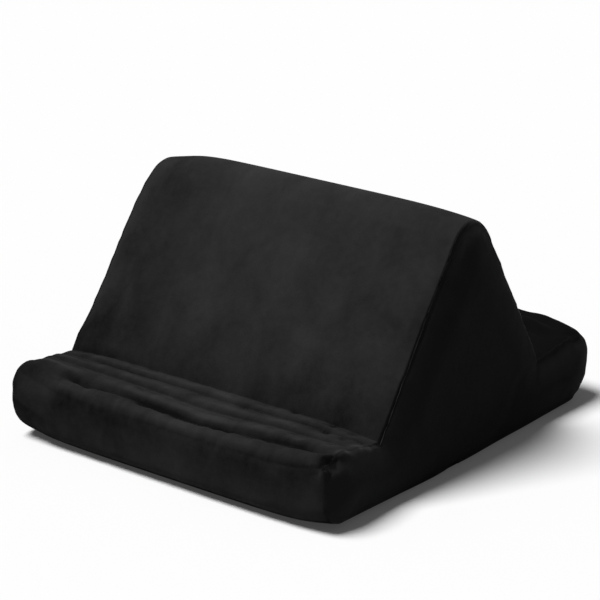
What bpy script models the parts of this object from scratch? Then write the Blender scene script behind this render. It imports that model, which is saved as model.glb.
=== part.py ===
"""Cushioned tablet stand: a foam base and wedge in a zipped velvet cover with channelled ledges.

+X is the user's right, -Y the front, where the tablet faces the user, and +Z up. The stand rests
on its underside, and the origin is in the middle of that underside. Lengths are in metres.
"""

import math

import bmesh
import bpy
import numpy as np

MM = 0.001

# The padded outline, measured over the cover halfway between the side seams
WIDTH = 298 * MM  # between the two side seams
DEPTH = 350 * MM
HEIGHT = 193 * MM
RIDGE_RADIUS = 22.5 * MM
RIDGE_SETBACK = 4.5 * MM  # the ridge lies this far behind the middle
FACE_ANGLE = math.radians(54.7)  # front face, up from level
BACK_ANGLE = math.radians(58.8)
FACE_CROWN = 2.2 * MM  # how far the middle of a face stands proud of its side seams
FACE_BULGE = 1.8 * MM  # how far half way up a face stands proud of its foot and its ridge
FACE_BULGE_AT_SEAM = 0.8 * MM

# The ledges: each has a middle size and a size at the side seam, where the padding is drawn in
FRONT_CREASE_HEIGHT = 54 * MM
FRONT_CREASE_HEIGHT_AT_SEAM = 50 * MM
FRONT_LIP_HEIGHT = 51 * MM
FRONT_LIP_HEIGHT_AT_SEAM = 59 * MM
FRONT_LIP_RADIUS = 24 * MM
FRONT_LIP_RADIUS_AT_SEAM = 9 * MM
FRONT_HEEL_RADIUS = 18 * MM
FRONT_HEEL_RADIUS_AT_SEAM = 24 * MM
FRONT_DRAW_IN = 5 * MM  # how far the seam lies behind the middle of the front roll
FRONT_LIFT_AT_SEAM = 4 * MM  # how far the underside's front corners curl up
REAR_CREASE_HEIGHT = 59 * MM
REAR_CREASE_HEIGHT_AT_SEAM = 52 * MM
REAR_LIP_HEIGHT = 65 * MM
REAR_LIP_HEIGHT_AT_SEAM = 58 * MM
REAR_LIP_RADIUS = 24 * MM
REAR_LIP_RADIUS_AT_SEAM = 14 * MM
REAR_HEEL_RADIUS = 18 * MM
REAR_HEEL_RADIUS_AT_SEAM = 28 * MM
REAR_DRAW_IN = 2 * MM
REAR_LIFT_AT_SEAM = 2.5 * MM
EDGE_LIFT_AT_SEAM = 0.8 * MM  # the rest of the underside's side edges

# The sewn channels that run along each ledge
RIB_COUNT = 4
RIB_HEIGHT = 5.5 * MM
PLAIN_LIP = 21 * MM  # left smooth between the last stitch line and the nose of the roll
RIB_SHARES = (0.0, 0.2, 0.5, 0.8)  # places across one channel, from its stitch line
RIB_RISE_SHARES = (0.0, 0.78, 1.0, 0.78)  # height of the channel at those places

# Cloth, wadding and the room between them
CLOTH = 1.8 * MM  # velvet with its bonded backing
LINING = 0.8 * MM
WADDING = 1.5 * MM  # left between cover and lining at a stitch line
CLEARANCE = 0.3 * MM
SLOPE_CLEARANCE = 0.6 * MM  # measured along the layers' directions, where they slope or twist
HEEL_SEAM_ANGLE = math.radians(20)  # where the cover meets the underside panels, up the heel

# The side panels
SIDE_CROWN = 5 * MM  # how far their middle bulges past their edge
SIDE_CROWN_REACH = 30 * MM  # how far in from the edge the bulge keeps rising
SIDE_ROLL = 1.5 * MM  # width of the turned edge
SIDE_ROLL_SHARE = 0.45  # thickness left at the very edge
SIDE_INSETS = (6 * MM, 15 * MM)
SIDE_ROW_SHARES = (0.0, 0.12, 0.25, 0.38, 0.5)
SIDE_COLUMN_SPACING = 5.5 * MM

# The zip under the stand
ZIP_FORWARD = 15 * MM  # the zip lies this far in front of the middle
ZIP_SLOT = 8.4 * MM
ZIP_HEM = 7 * MM  # level strip of cloth beside the slot
ZIP_VALLEY = 15 * MM  # slope from the level strip down to the flat underside
ZIP_VALLEY_SHARES = ((0.3, 0.85), (0.65, 0.28))  # along the slope, height left
ZIP_RECESS = 4 * MM  # the hems are drawn up by this much
TAPE_WIDTH = 12 * MM
TAPE_THICKNESS = 0.6 * MM
TAPE_BEAD = 0.9 * MM  # woven cord edge of the tape
TAPE_GAP = 2.4 * MM  # between the two tapes' inner edges
TAPE_END_GAP = 2 * MM  # from the side panel
COIL_WIDTH = 1.7 * MM
COIL_HEIGHT = 1.6 * MM
COIL_OPENING = 1.05 * MM  # how far each row moves out round the slider's divider
COIL_SPREAD = 4 * MM  # length over which the rows part
SLIDER_FROM_SEAM = 17 * MM  # where it parks, and how far it stops from the other side
SLIDER_LENGTH = 9 * MM
SLIDER_NOSE_WIDTH = 7.6 * MM
SLIDER_TAIL_WIDTH = 6.8 * MM
SLIDER_PLATE = 0.8 * MM
SLIDER_FLANGE = 0.6 * MM
DIVIDER_WIDTH = 1.7 * MM
DIVIDER_LENGTH = 2.8 * MM
BAIL_WIDTH = 1.8 * MM
BAIL_THICKNESS = 0.8 * MM
BAIL_OPENING_LENGTH = 3.2 * MM
BAIL_OPENING_HEIGHT = 1.6 * MM
PULL_LENGTH = 21 * MM
PULL_WIDTH = 5.4 * MM
PULL_NECK_WIDTH = 4.9 * MM
PULL_THICKNESS = 0.9 * MM
PULL_BAR = 0.9 * MM  # the cross bar that turns in the bail
PULL_EYE_LENGTH = 4.2 * MM
PULL_EYE_WIDTH = 3 * MM
PULL_GRIP_HOLE_LENGTH = 6 * MM
PULL_GRIP_HOLE_WIDTH = 2.4 * MM
PULL_GRIP_HOLE_FROM_END = 2.4 * MM
CUT_OVERRUN = 1 * MM
SMALL_BEVEL = 0.15 * MM

# Places across the width, as shares of the way from the middle to a side seam
STATION_SHARES = (0.0, 0.4, 0.7, 0.84, 0.95, 1.0)
CROWN_EXPONENT = 5  # the middle stays full, and the last stretch falls to the seam
RIB_EXPONENT = 14
LIFT_START_SHARE = 0.7  # the underside is flat this far out
FOAM_END_INSETS = (5 * MM, 14 * MM)
RIDGE_STEPS = 6
HEEL_STEPS = 3

VELVET = ((0.012, 0.012, 0.013), 0.85, 0.0)
LINING_CLOTH = ((0.018, 0.018, 0.02), 0.8, 0.0)
FOAM = ((0.62, 0.60, 0.53), 0.9, 0.0)
WADDING_FIBRE = ((0.8, 0.8, 0.79), 0.95, 0.0)
ZIP_NYLON = ((0.015, 0.015, 0.016), 0.5, 0.0)
ZIP_METAL = ((0.03, 0.03, 0.032), 0.35, 0.8)


def clear_scene():
    for obj in list(bpy.data.objects):
        bpy.data.objects.remove(obj)


def finish(name):
    """A surface finish made once and shared by the pieces that have it."""
    made = bpy.data.materials.get(name)
    if made:
        return made
    colour, roughness, metallic = FINISHES[name]
    made = bpy.data.materials.new(name)
    made.use_nodes = True
    surface = made.node_tree.nodes["Principled BSDF"]
    surface.inputs["Base Color"].default_value = (*colour, 1)
    surface.inputs["Roughness"].default_value = roughness
    surface.inputs["Metallic"].default_value = metallic
    return made


FINISHES = {
    "black_velvet": VELVET,
    "black_lining": LINING_CLOTH,
    "polyurethane_foam": FOAM,
    "polyester_wadding": WADDING_FIBRE,
    "zip_nylon": ZIP_NYLON,
    "zip_metal": ZIP_METAL,
}


def piece(name, points, faces, material, place=(0, 0, 0), sharp_angle=math.radians(40)):
    """One named object, its faces turned outwards, with its origin at place."""
    mesh = bpy.data.meshes.new(name)
    mesh.from_pydata([tuple(np.subtract(p, place)) for p in points], [], faces)
    shape = bmesh.new()
    shape.from_mesh(mesh)
    bmesh.ops.recalc_face_normals(shape, faces=shape.faces)
    shape.to_mesh(mesh)
    shape.free()
    mesh.shade_smooth()
    mesh.set_sharp_from_angle(angle=sharp_angle)
    obj = bpy.data.objects.new(name, mesh)
    obj.location = place
    obj.data.materials.append(finish(material))
    bpy.context.scene.collection.objects.link(obj)
    return obj


def skin(name, outer, inner, material):
    """A sheet with thickness: two grids of points of the same shape, joined round their rims.

    Every sheet and block splits its faces along the same diagonal, so that stacked layers keep
    their distance between the points as well.
    """
    rows, columns = outer.shape[:2]
    size = rows * columns

    def index(row, column, side):
        return side * size + row * columns + column

    faces = []
    for side in (0, 1):
        for row in range(rows - 1):
            for column in range(columns - 1):
                near, far = index(row, column, side), index(row + 1, column + 1, side)
                faces.append([near, index(row, column + 1, side), far])
                faces.append([near, far, index(row + 1, column, side)])
    rim = [(0, c) for c in range(columns)]
    rim += [(r, columns - 1) for r in range(1, rows)]
    rim += [(rows - 1, c) for c in range(columns - 2, -1, -1)]
    rim += [(r, 0) for r in range(rows - 2, 0, -1)]
    for here, after in zip(rim, rim[1:] + rim[:1]):
        faces.append([index(*here, 0), index(*here, 1), index(*after, 1), index(*after, 0)])
    points = np.concatenate([outer.reshape(-1, 3), inner.reshape(-1, 3)])
    return piece(name, points, faces, material)


def loft(name, loops, material, place=(0, 0, 0)):
    """A solid through closed loops of points, with a face over each end."""
    count = len(loops[0])
    faces = [list(range(count)), [(len(loops) - 1) * count + i for i in reversed(range(count))]]
    for row in range(len(loops) - 1):
        for i in range(count):
            j = (i + 1) % count
            near, far = row * count + i, (row + 1) * count + j
            faces.append([near, row * count + j, far])
            faces.append([near, far, (row + 1) * count + i])
    return piece(name, np.concatenate(loops), faces, material, place)


def unite(body, others):
    """Joins others to body as one solid; the others stay as hidden guides."""
    for other in others:
        join = body.modifiers.new("join_" + other.name, "BOOLEAN")
        join.operation = "UNION"
        join.object = other
        hide_guide(other)


def cut(body, cutter):
    hole = body.modifiers.new("cut_" + cutter.name, "BOOLEAN")
    hole.operation = "DIFFERENCE"
    hole.object = cutter
    hide_guide(cutter)


def hide_guide(obj):
    obj.hide_render = True
    obj.display_type = "WIRE"


def between(at_seam, middle, fullness):
    return at_seam + (middle - at_seam) * fullness


def mitre(first, second):
    """The direction that keeps an offset's distance to both sides of a corner."""
    along = np.add(first, second)
    along = along / np.linalg.norm(along)
    return along / np.dot(along, first)


class Ledge:
    """One ledge and its roll, in a section at one station: toward is -1 at the front, 1 at the rear."""

    def __init__(self, toward, foot, face_out, reach, crease, lip, lip_radius, heel_radius, lift):
        self.toward = toward
        self.crease = np.array([foot, crease])
        self.face_out = face_out
        self.lip = np.array([toward * (reach - lip_radius), lip])
        self.lip_radius = lip_radius
        self.nose = toward * reach
        self.heel_radius = heel_radius
        self.lift = lift
        self.run = np.linalg.norm(self.lip - self.crease)
        along = (self.lip - self.crease) / self.run
        self.level_out = np.array([-along[1], along[0]]) * toward

    def top(self, distance):
        """Point and outward direction at a distance from the crease, along the seat and round the lip."""
        if distance <= self.run:
            return self.crease + (self.lip - self.crease) * distance / self.run, self.level_out
        turn = (distance - self.run) / self.lip_radius
        out = np.array([self.toward * math.sin(turn), math.cos(turn)])
        return self.lip + (out - np.array([0, 1])) * self.lip_radius, out

    def heel(self, angle):
        """Point and outward direction on the heel, at an angle up from the underside."""
        out = np.array([self.toward * math.sin(angle), -math.cos(angle)])
        centre = np.array([self.nose - self.toward * self.heel_radius, self.lift + self.heel_radius])
        return centre + out * self.heel_radius, out

    def whole(self):
        """Length of the ledge from the crease to the nose, along the seat and round the lip."""
        return self.run + self.lip_radius * math.pi / 2

    def channel_width(self):
        return (self.whole() - PLAIN_LIP) / RIB_COUNT

    def rows(self, rib_height, rib_pitch):
        """Points, directions and rib heights from the heel seam up to the crease."""
        made = []
        for step in range(HEEL_STEPS + 1):
            angle = HEEL_SEAM_ANGLE + (math.pi / 2 - HEEL_SEAM_ANGLE) * step / HEEL_STEPS
            made.append((*self.heel(angle), 0))
        channelled = RIB_COUNT * rib_pitch
        made.append((*self.top(self.whole()), 0))
        made.append((*self.top((self.whole() + channelled) / 2), 0))
        made.append((*self.top(channelled), 0))
        for rib in reversed(range(RIB_COUNT)):
            for share, rise in reversed(list(zip(RIB_SHARES, RIB_RISE_SHARES))):
                made.append((*self.top((rib + share) * rib_pitch), rise * rib_height))
        point = made.pop()[0]
        made.append((point, mitre(self.level_out, self.face_out), 0))
        return made


class Section:
    """The cover's outline across the stand at one share of the way from the middle to a side seam.

    The channels run straight, so every section takes their width from the middle one.
    """

    def __init__(self, share, middle=None):
        self.full = 1 - share**CROWN_EXPONENT
        rib_height = RIB_HEIGHT * (1 - share**RIB_EXPONENT)
        lifted = max(0, (share - LIFT_START_SHARE) / (1 - LIFT_START_SHARE)) ** 2
        self.edge_lift = EDGE_LIFT_AT_SEAM * lifted
        face_out = np.array([-math.sin(FACE_ANGLE), math.cos(FACE_ANGLE)])
        back_out = np.array([math.sin(BACK_ANGLE), math.cos(BACK_ANGLE)])
        half_corner = (math.pi - FACE_ANGLE - BACK_ANGLE) / 2
        inward = -(face_out + back_out) / np.linalg.norm(face_out + back_out)
        sunk = FACE_CROWN * (1 - self.full) / math.sin(half_corner)
        ridge = np.array([RIDGE_SETBACK, HEIGHT - RIDGE_RADIUS]) + inward * sunk
        face_top = ridge + face_out * RIDGE_RADIUS
        back_top = ridge + back_out * RIDGE_RADIUS
        front_crease = between(FRONT_CREASE_HEIGHT_AT_SEAM, FRONT_CREASE_HEIGHT, self.full)
        rear_crease = between(REAR_CREASE_HEIGHT_AT_SEAM, REAR_CREASE_HEIGHT, self.full)
        self.front = Ledge(
            -1,
            face_top[0] - (face_top[1] - front_crease) / math.tan(FACE_ANGLE),
            face_out,
            DEPTH / 2 - FRONT_DRAW_IN * (1 - self.full),
            front_crease,
            between(FRONT_LIP_HEIGHT_AT_SEAM, FRONT_LIP_HEIGHT, self.full),
            between(FRONT_LIP_RADIUS_AT_SEAM, FRONT_LIP_RADIUS, self.full),
            between(FRONT_HEEL_RADIUS_AT_SEAM, FRONT_HEEL_RADIUS, self.full),
            FRONT_LIFT_AT_SEAM * lifted,
        )
        self.rear = Ledge(
            1,
            back_top[0] + (back_top[1] - rear_crease) / math.tan(BACK_ANGLE),
            back_out,
            DEPTH / 2 - REAR_DRAW_IN * (1 - self.full),
            rear_crease,
            between(REAR_LIP_HEIGHT_AT_SEAM, REAR_LIP_HEIGHT, self.full),
            between(REAR_LIP_RADIUS_AT_SEAM, REAR_LIP_RADIUS, self.full),
            between(REAR_HEEL_RADIUS_AT_SEAM, REAR_HEEL_RADIUS, self.full),
            REAR_LIFT_AT_SEAM * lifted,
        )
        middle = middle or self
        front_rows = self.front.rows(rib_height, middle.front.channel_width())
        rear_rows = self.rear.rows(rib_height, middle.rear.channel_width())
        self.front_crease_row = len(front_rows) - 1
        rows = front_rows
        rows.append(self.face_middle(self.front.crease, face_top, face_out))
        for step in range(RIDGE_STEPS + 1):
            angle = -FACE_ANGLE + (FACE_ANGLE + BACK_ANGLE) * step / RIDGE_STEPS
            out = np.array([math.sin(angle), math.cos(angle)])
            rows.append((ridge + out * RIDGE_RADIUS, out, 0))
        rows.append(self.face_middle(self.rear.crease, back_top, back_out))
        self.rear_crease_row = len(rows)
        rows += reversed(rear_rows)
        self.places = np.array([row[0] for row in rows])
        self.outs = np.array([row[1] for row in rows])
        self.ribs = np.array([row[2] for row in rows])

    def face_middle(self, foot, top, out):
        return (foot + top) / 2 + out * between(FACE_BULGE_AT_SEAM, FACE_BULGE, self.full), out, 0

    def cover(self, depth, first=0, last=None, ribbed=True):
        """Outline points at a depth under the cover's surface, along the channels or flat under them."""
        last = len(self.places) if last is None else last
        rise = self.ribs[first:last] if ribbed else np.zeros(last - first)
        return self.places[first:last] + self.outs[first:last] * (rise - depth)[:, None]

    def underside(self, ledge, depth):
        """Points under one half of the stand, between its heel seam and the zip's slot."""
        start = HEEL_SEAM_ANGLE - CLEARANCE / ledge.heel_radius
        made = []
        for angle in (start, start / 2, 0):
            point, out = ledge.heel(angle)
            made.append(point - out * depth)
        for along, height in zip(*valley(ledge.toward)):
            made.append(np.array([along, max(height, self.edge_lift) + depth]))
        return np.array(made if ledge.toward > 0 else made[::-1])


def valley(toward):
    """Places and heights from the flat underside up to one edge of the zip's slot."""
    zip_line = -ZIP_FORWARD
    hem = ZIP_SLOT / 2 + ZIP_HEM
    outwards = [hem + ZIP_VALLEY]
    heights = [0]
    for along, left in ZIP_VALLEY_SHARES[::-1]:
        outwards.append(hem + ZIP_VALLEY * along)
        heights.append(ZIP_RECESS * left)
    outwards += [hem, ZIP_SLOT / 2]
    heights += [ZIP_RECESS, ZIP_RECESS]
    return [zip_line + toward * out for out in outwards], heights


def stations():
    """(x, section) from the left side seam to the right one."""
    middle = Section(0)
    signed = [-share for share in reversed(STATION_SHARES[1:])] + list(STATION_SHARES)
    return [(share * WIDTH / 2, Section(abs(share), middle)) for share in signed]


def across(x, outline):
    """Points of an outline, placed at x."""
    return np.column_stack([np.full(len(outline), x), outline])


def make_cover(sections):
    """The one cloth that runs from the front heel over both ledges and the wedge to the rear heel."""
    outer = np.array([across(x, s.cover(0)) for x, s in sections])
    inner = np.array([across(x, s.cover(CLOTH)) for x, s in sections])
    skin("velvet_cover", outer, inner, "black_velvet")


def make_underside(sections):
    for name, end in (("front_underside_panel", "front"), ("rear_underside_panel", "rear")):
        outer = np.array([across(x, s.underside(getattr(s, end), 0)) for x, s in sections])
        inner = np.array([across(x, s.underside(getattr(s, end), CLOTH)) for x, s in sections])
        skin(name, outer, inner, "black_velvet")


def ledge_rows(section, end):
    """First and past-the-last row of the channels on one ledge."""
    channelled = RIB_COUNT * len(RIB_SHARES) + 1
    if end == "front":
        return section.front_crease_row + 1 - channelled, section.front_crease_row + 1
    return section.rear_crease_row, section.rear_crease_row + channelled


def make_ledge_padding(sections):
    """Quilted wadding that fills the channels, and the lining that they are stitched to."""
    wadding_top = CLOTH + SLOPE_CLEARANCE
    wadding_foot = wadding_top + WADDING
    lining_top = wadding_foot + CLEARANCE
    for end in ("front", "rear"):
        first, last = ledge_rows(sections[0][1], end)
        top = np.array([across(x, s.cover(wadding_top, first, last)) for x, s in sections])
        foot = np.array([across(x, s.cover(wadding_foot, first, last, False)) for x, s in sections])
        skin(end + "_ledge_wadding", top, foot, "polyester_wadding")
        top = np.array([across(x, s.cover(lining_top, first, last, False)) for x, s in sections])
        foot = np.array([across(x, s.cover(lining_top + LINING, first, last, False)) for x, s in sections])
        skin(end + "_ledge_lining", top, foot, "black_lining")


def padding_depth():
    """From the cover's surface at a stitch line down to the foam under the ledge."""
    return CLOTH + SLOPE_CLEARANCE + WADDING + CLEARANCE + LINING + CLEARANCE


def side_crown(inset):
    """How far a side panel bulges at a distance in from its edge."""
    left = 1 - np.minimum(inset, SIDE_CROWN_REACH) / SIDE_CROWN_REACH
    return SIDE_CROWN * (1 - left**2)


class SideOutline:
    """The edge of a side panel: its top runs from nose to nose, its bottom over heels and zip."""

    def __init__(self, section):
        heels = HEEL_STEPS + 1
        cover = section.cover(0)
        under = [section.underside(section.front, 0)[::-1], section.underside(section.rear, 0)[::-1]]
        self.top = cover[heels:-heels]
        self.bottom = np.concatenate([cover[:heels][::-1], *under, cover[-heels:][::-1]])

    def edge(self, line, along):
        """Height of the top or the bottom edge, and how much of a height difference is square to it."""
        ahead = np.interp(along + SIDE_ROLL, line[:, 0], line[:, 1])
        behind = np.interp(along - SIDE_ROLL, line[:, 0], line[:, 1])
        slope = (ahead - behind) / (2 * SIDE_ROLL)
        return np.interp(along, line[:, 0], line[:, 1]), 1 / np.sqrt(1 + slope**2)

    def inset(self, along, height):
        """Distance in from the panel's edge."""
        high, high_square = self.edge(self.top, along)
        low, low_square = self.edge(self.bottom, along)
        from_edge = np.minimum((height - low) * low_square, (high - height) * high_square)
        return np.minimum(from_edge, np.minimum(along - self.top[0, 0], self.top[-1, 0] - along))


def crowned_loops(loops, side):
    """Adds drawn-in loops at both ends, so that a foam block fills the bulge of the side panels."""
    added = {}
    for end, sign in ((0, -1), (-1, 1)):
        edge = loops[end][:, 1:]
        centre = (edge.max(axis=0) + edge.min(axis=0)) / 2
        half = (edge.max(axis=0) - edge.min(axis=0)) / 2
        added[end] = []
        for inset in FOAM_END_INSETS:
            drawn_in = centre + (edge - centre) * (1 - inset / half)
            bulge = side_crown(side.inset(*drawn_in.T).min() - CLOTH) - CLEARANCE
            added[end].append(across(sign * (WIDTH / 2 + bulge), drawn_in))
    return added[0][::-1] + loops + added[-1]


def base_outline(section):
    """The foam base: heels, both seats, the level top under the wedge and the hollow over the zip."""
    under = CLOTH + CLEARANCE
    front_first, front_last = ledge_rows(section, "front")
    rear_first, rear_last = ledge_rows(section, "rear")
    hollow_foot = ZIP_SLOT / 2 + ZIP_HEM + ZIP_VALLEY
    hollow_top = ZIP_SLOT / 2 + TAPE_WIDTH
    hollow = zip_heights()["inner_plate"][1] + CLEARANCE
    outline = [[-ZIP_FORWARD - hollow_foot, under + section.edge_lift]]
    outline += list(section.underside(section.front, under)[-3:])
    outline += list(section.cover(under, 1, front_first))
    outline += list(section.cover(padding_depth(), front_first, front_last, False))
    outline += list(section.cover(padding_depth(), rear_first, rear_last, False))
    outline += list(section.cover(under, rear_last, len(section.places) - 1))
    outline += list(section.underside(section.rear, under)[:3])
    outline += [[-ZIP_FORWARD + hollow_foot, under + section.edge_lift], [-ZIP_FORWARD + hollow_top, hollow]]
    outline += [[-ZIP_FORWARD - hollow_top, hollow]]
    return np.array(outline)


def wedge_outline(section):
    """The foam wedge: its feet stand on the base, behind the edges of the ledge padding."""
    depth = CLOTH + CLEARANCE
    foot_depth = padding_depth() - SLOPE_CLEARANCE
    faces = section.cover(depth, section.front_crease_row, section.rear_crease_row + 1)
    feet = section.cover(foot_depth, section.front_crease_row, section.rear_crease_row + 1)
    shift = np.array([SLOPE_CLEARANCE, 0])
    up_face = np.array([math.cos(FACE_ANGLE), math.sin(FACE_ANGLE)]) * SLOPE_CLEARANCE
    up_back = np.array([-math.cos(BACK_ANGLE), math.sin(BACK_ANGLE)]) * SLOPE_CLEARANCE
    outline = [feet[0] + shift, faces[0] + up_face, *faces[1:-1], faces[-1] + up_back, feet[-1] - shift]
    return np.array(outline)


def make_foam(sections):
    base = [across(x, base_outline(s)) for x, s in sections]
    wedge = [across(x, wedge_outline(s)) for x, s in sections]
    side = SideOutline(sections[-1][1])
    loft("foam_base", crowned_loops(base, side), "polyurethane_foam")
    loft("foam_wedge", crowned_loops(wedge, side), "polyurethane_foam")


def thinned(values, kept, spacing):
    """The kept values, and of the others those at least spacing from any value already taken."""
    taken = list(kept)
    for value in sorted(values):
        if min(abs(value - other) for other in taken) >= spacing:
            taken.append(value)
    return np.array(sorted(taken))


def make_side_panels(section):
    """The crowned panel that closes each side, over the section's outline at the seam."""
    side = SideOutline(section)
    corners = [side.top[0, 0], side.top[-1, 0], section.front.crease[0], section.rear.crease[0]]
    corners += [side.top[0, 0] + inset for inset in SIDE_INSETS]
    corners += [side.top[-1, 0] - inset for inset in SIDE_INSETS]
    corners += [-ZIP_FORWARD - ZIP_SLOT, -ZIP_FORWARD + ZIP_SLOT]
    columns = thinned([*side.top[:, 0], *side.bottom[:, 0]], corners, SIDE_COLUMN_SPACING)
    high = side.edge(side.top, columns)[0]
    low = side.edge(side.bottom, columns)[0]
    insets = (0, SIDE_ROLL, *SIDE_INSETS, WIDTH)
    rises = [np.minimum(inset, (high - low) * share) for inset, share in zip(insets, SIDE_ROW_SHARES)]
    heights = [low + rise for rise in rises] + [high - rise for rise in rises[-2::-1]]
    outer, inner = [], []
    for height in heights:
        inset = side.inset(columns, height)
        bulge = WIDTH / 2 + CLEARANCE + side_crown(inset)
        thick = np.where(inset < SIDE_ROLL / 2, CLOTH * SIDE_ROLL_SHARE, CLOTH)
        outer.append(np.column_stack([bulge + thick, columns, height]))
        inner.append(np.column_stack([bulge, columns, height]))
    for name, sign in (("left_side_panel", -1), ("right_side_panel", 1)):
        flip = np.array([sign, 1, 1])
        skin(name, np.array(outer) * flip, np.array(inner) * flip, "black_velvet")


def zip_heights():
    """Heights above the ground of each layer of the zip, from the outside in."""
    tape = ZIP_RECESS + CLOTH + CLEARANCE
    coil = tape - CLEARANCE - COIL_HEIGHT
    outer_plate = coil - CLEARANCE - SLIDER_PLATE
    inner_plate = tape + TAPE_THICKNESS + CLEARANCE
    return {
        "tape": (tape, tape + TAPE_THICKNESS),
        "coil": (coil, coil + COIL_HEIGHT),
        "outer_plate": (outer_plate, outer_plate + SLIDER_PLATE),
        "inner_plate": (inner_plate, inner_plate + SLIDER_PLATE),
        "bail": (outer_plate - BAIL_OPENING_HEIGHT - BAIL_THICKNESS, outer_plate - BAIL_OPENING_HEIGHT),
        "bar": outer_plate - BAIL_OPENING_HEIGHT / 2,
    }


def make_zip_tapes():
    low, high = zip_heights()["tape"]
    ends = WIDTH / 2 - TAPE_END_GAP
    for name, toward in (("front_zip_tape", -1), ("rear_zip_tape", 1)):
        inner = TAPE_GAP / 2
        bead = inner + TAPE_BEAD
        outer = inner + TAPE_WIDTH
        rounded = TAPE_THICKNESS / 4
        outline = [(inner, low + rounded), (inner + rounded, low), (bead, low), (outer, low)]
        outline += [(outer, high - rounded), (bead, high - rounded), (inner + rounded, high), (inner, high - rounded)]
        outline = np.array([(-ZIP_FORWARD + toward * out, height) for out, height in outline])
        loft(name, [across(-ends, outline), across(ends, outline)], "zip_nylon")


def slider_x():
    """Where the slider's middle parks, near the right side seam."""
    return WIDTH / 2 - SLIDER_FROM_SEAM


def parting_x():
    """Where the coil rows are fully apart, at the tail end of the slider's divider."""
    return slider_x() + SLIDER_LENGTH / 2 - DIVIDER_LENGTH


def coil_offset(x):
    """How far one coil row's middle lies from the zip line: apart ahead of the slider's divider."""
    share = min(1, max(0, (x - parting_x()) / COIL_SPREAD + 1))
    smooth = share * share * (3 - 2 * share)
    return COIL_WIDTH / 2 + CLEARANCE / 2 + COIL_OPENING * smooth


def make_zip_coils():
    """The two rows of the nylon coil, each a half-round bead, parted where the slider holds them."""
    low, high = zip_heights()["coil"]
    ends = WIDTH / 2 - TAPE_END_GAP
    places = [-ends, 0] + [parting_x() - COIL_SPREAD * (1 - step / 4) for step in range(5)] + [ends]
    for name, toward in (("front_zip_coil", -1), ("rear_zip_coil", 1)):
        loops = []
        for x in places:
            middle = -ZIP_FORWARD + toward * coil_offset(x)
            loop = []
            for step in range(7):
                angle = math.pi * step / 6
                loop.append((middle + COIL_WIDTH / 2 * math.cos(angle), high - COIL_HEIGHT * math.sin(angle)))
            loops.append(across(x, np.array(loop)))
        loft(name, loops, "zip_nylon")


def slider_half_width(x):
    """Half the width of the slider's plates at x from its middle, tail to nose."""
    share = min(1, max(0, (x + SLIDER_LENGTH / 2) / SLIDER_LENGTH))
    swell = math.sin(math.pi / 2 * min(1, share * 1.35))
    return (SLIDER_TAIL_WIDTH + (SLIDER_NOSE_WIDTH - SLIDER_TAIL_WIDTH) * swell) / 2


def plate_outline():
    """The slider's plates seen from below: rounded tail, wide shoulders and a notched nose."""
    half = SLIDER_LENGTH / 2
    corner = SLIDER_LENGTH / 9
    places = [-half, -half + corner, -half / 3, half / 3, half - corner, half]
    sides = [slider_half_width(x) for x in places]
    sides[0] -= corner
    sides[-1] -= corner
    outline = [(x, -side) for x, side in zip(places, sides)]
    outline += [(half - corner, 0)]
    outline += [(x, side) for x, side in reversed(list(zip(places, sides)))]
    return np.array(outline)


def slab(name, outline, low, high, material, place):
    """A flat outline in X and Y, pulled up from low to high, in the stand's frame."""
    loops = [np.column_stack([outline, np.full(len(outline), height)]) for height in (low, high)]
    return loft(name, loops, material, place)


def make_zip_slider():
    """Two plates on a divider, flanges that hold the coil in, and the bail that the pull hangs on."""
    heights = zip_heights()
    place = (slider_x(), -ZIP_FORWARD, sum(heights["coil"]) / 2)
    centre = np.array(place[:2])
    outline = plate_outline()
    outer_low, outer_high = heights["outer_plate"]
    inner_low, inner_high = heights["inner_plate"]
    body = slab("zip_slider", outline + centre, outer_low, outer_high, "zip_metal", place)
    parts = [slab("slider_inner_plate", outline + centre, inner_low, inner_high, "zip_metal", place)]
    middle = SLIDER_LENGTH / 2 - DIVIDER_LENGTH / 2 - SLIDER_LENGTH / 9
    divider = []
    for step in range(8):
        angle = 2 * math.pi * (step + 0.5) / 8
        divider.append((middle + DIVIDER_LENGTH / 2 * math.cos(angle), DIVIDER_WIDTH / 2 * math.sin(angle)))
    divider = np.array(divider) + centre
    parts.append(slab("slider_divider", divider, outer_low, inner_high, "zip_metal", place))
    flange_top = heights["tape"][0] - CLEARANCE
    for name, side in (("slider_front_flange", -1), ("slider_rear_flange", 1)):
        run = [x for x, _ in outline[1:5]]
        wall = [(x, side * slider_half_width(x)) for x in run]
        wall += [(x, side * (slider_half_width(x) - SLIDER_FLANGE)) for x in reversed(run)]
        parts.append(slab(name, np.array(wall) + centre, outer_low, flange_top, "zip_metal", place))
    parts.append(make_bail(place))
    unite(body, parts)
    return place


def make_bail(place):
    """The arch under the outer plate, a flat strip bent along the zip."""
    heights = zip_heights()
    low, high = heights["bail"]
    root = heights["outer_plate"][1] - SLIDER_PLATE / 2
    inner_half = BAIL_OPENING_LENGTH / 2
    outer_half = inner_half + BAIL_THICKNESS
    corner = BAIL_THICKNESS
    outline = [(-outer_half, root), (-outer_half, low + corner), (-outer_half + corner, low)]
    outline += [(outer_half - corner, low), (outer_half, low + corner), (outer_half, root)]
    outline += [(inner_half, root), (inner_half, high), (-inner_half, high), (-inner_half, root)]
    loops = []
    for side in (-1, 1):
        across_zip = -ZIP_FORWARD + side * BAIL_WIDTH / 2
        loops.append(np.array([(slider_x() + x, across_zip, height) for x, height in outline]))
    return loft("slider_bail", loops, "zip_metal", place)


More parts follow.
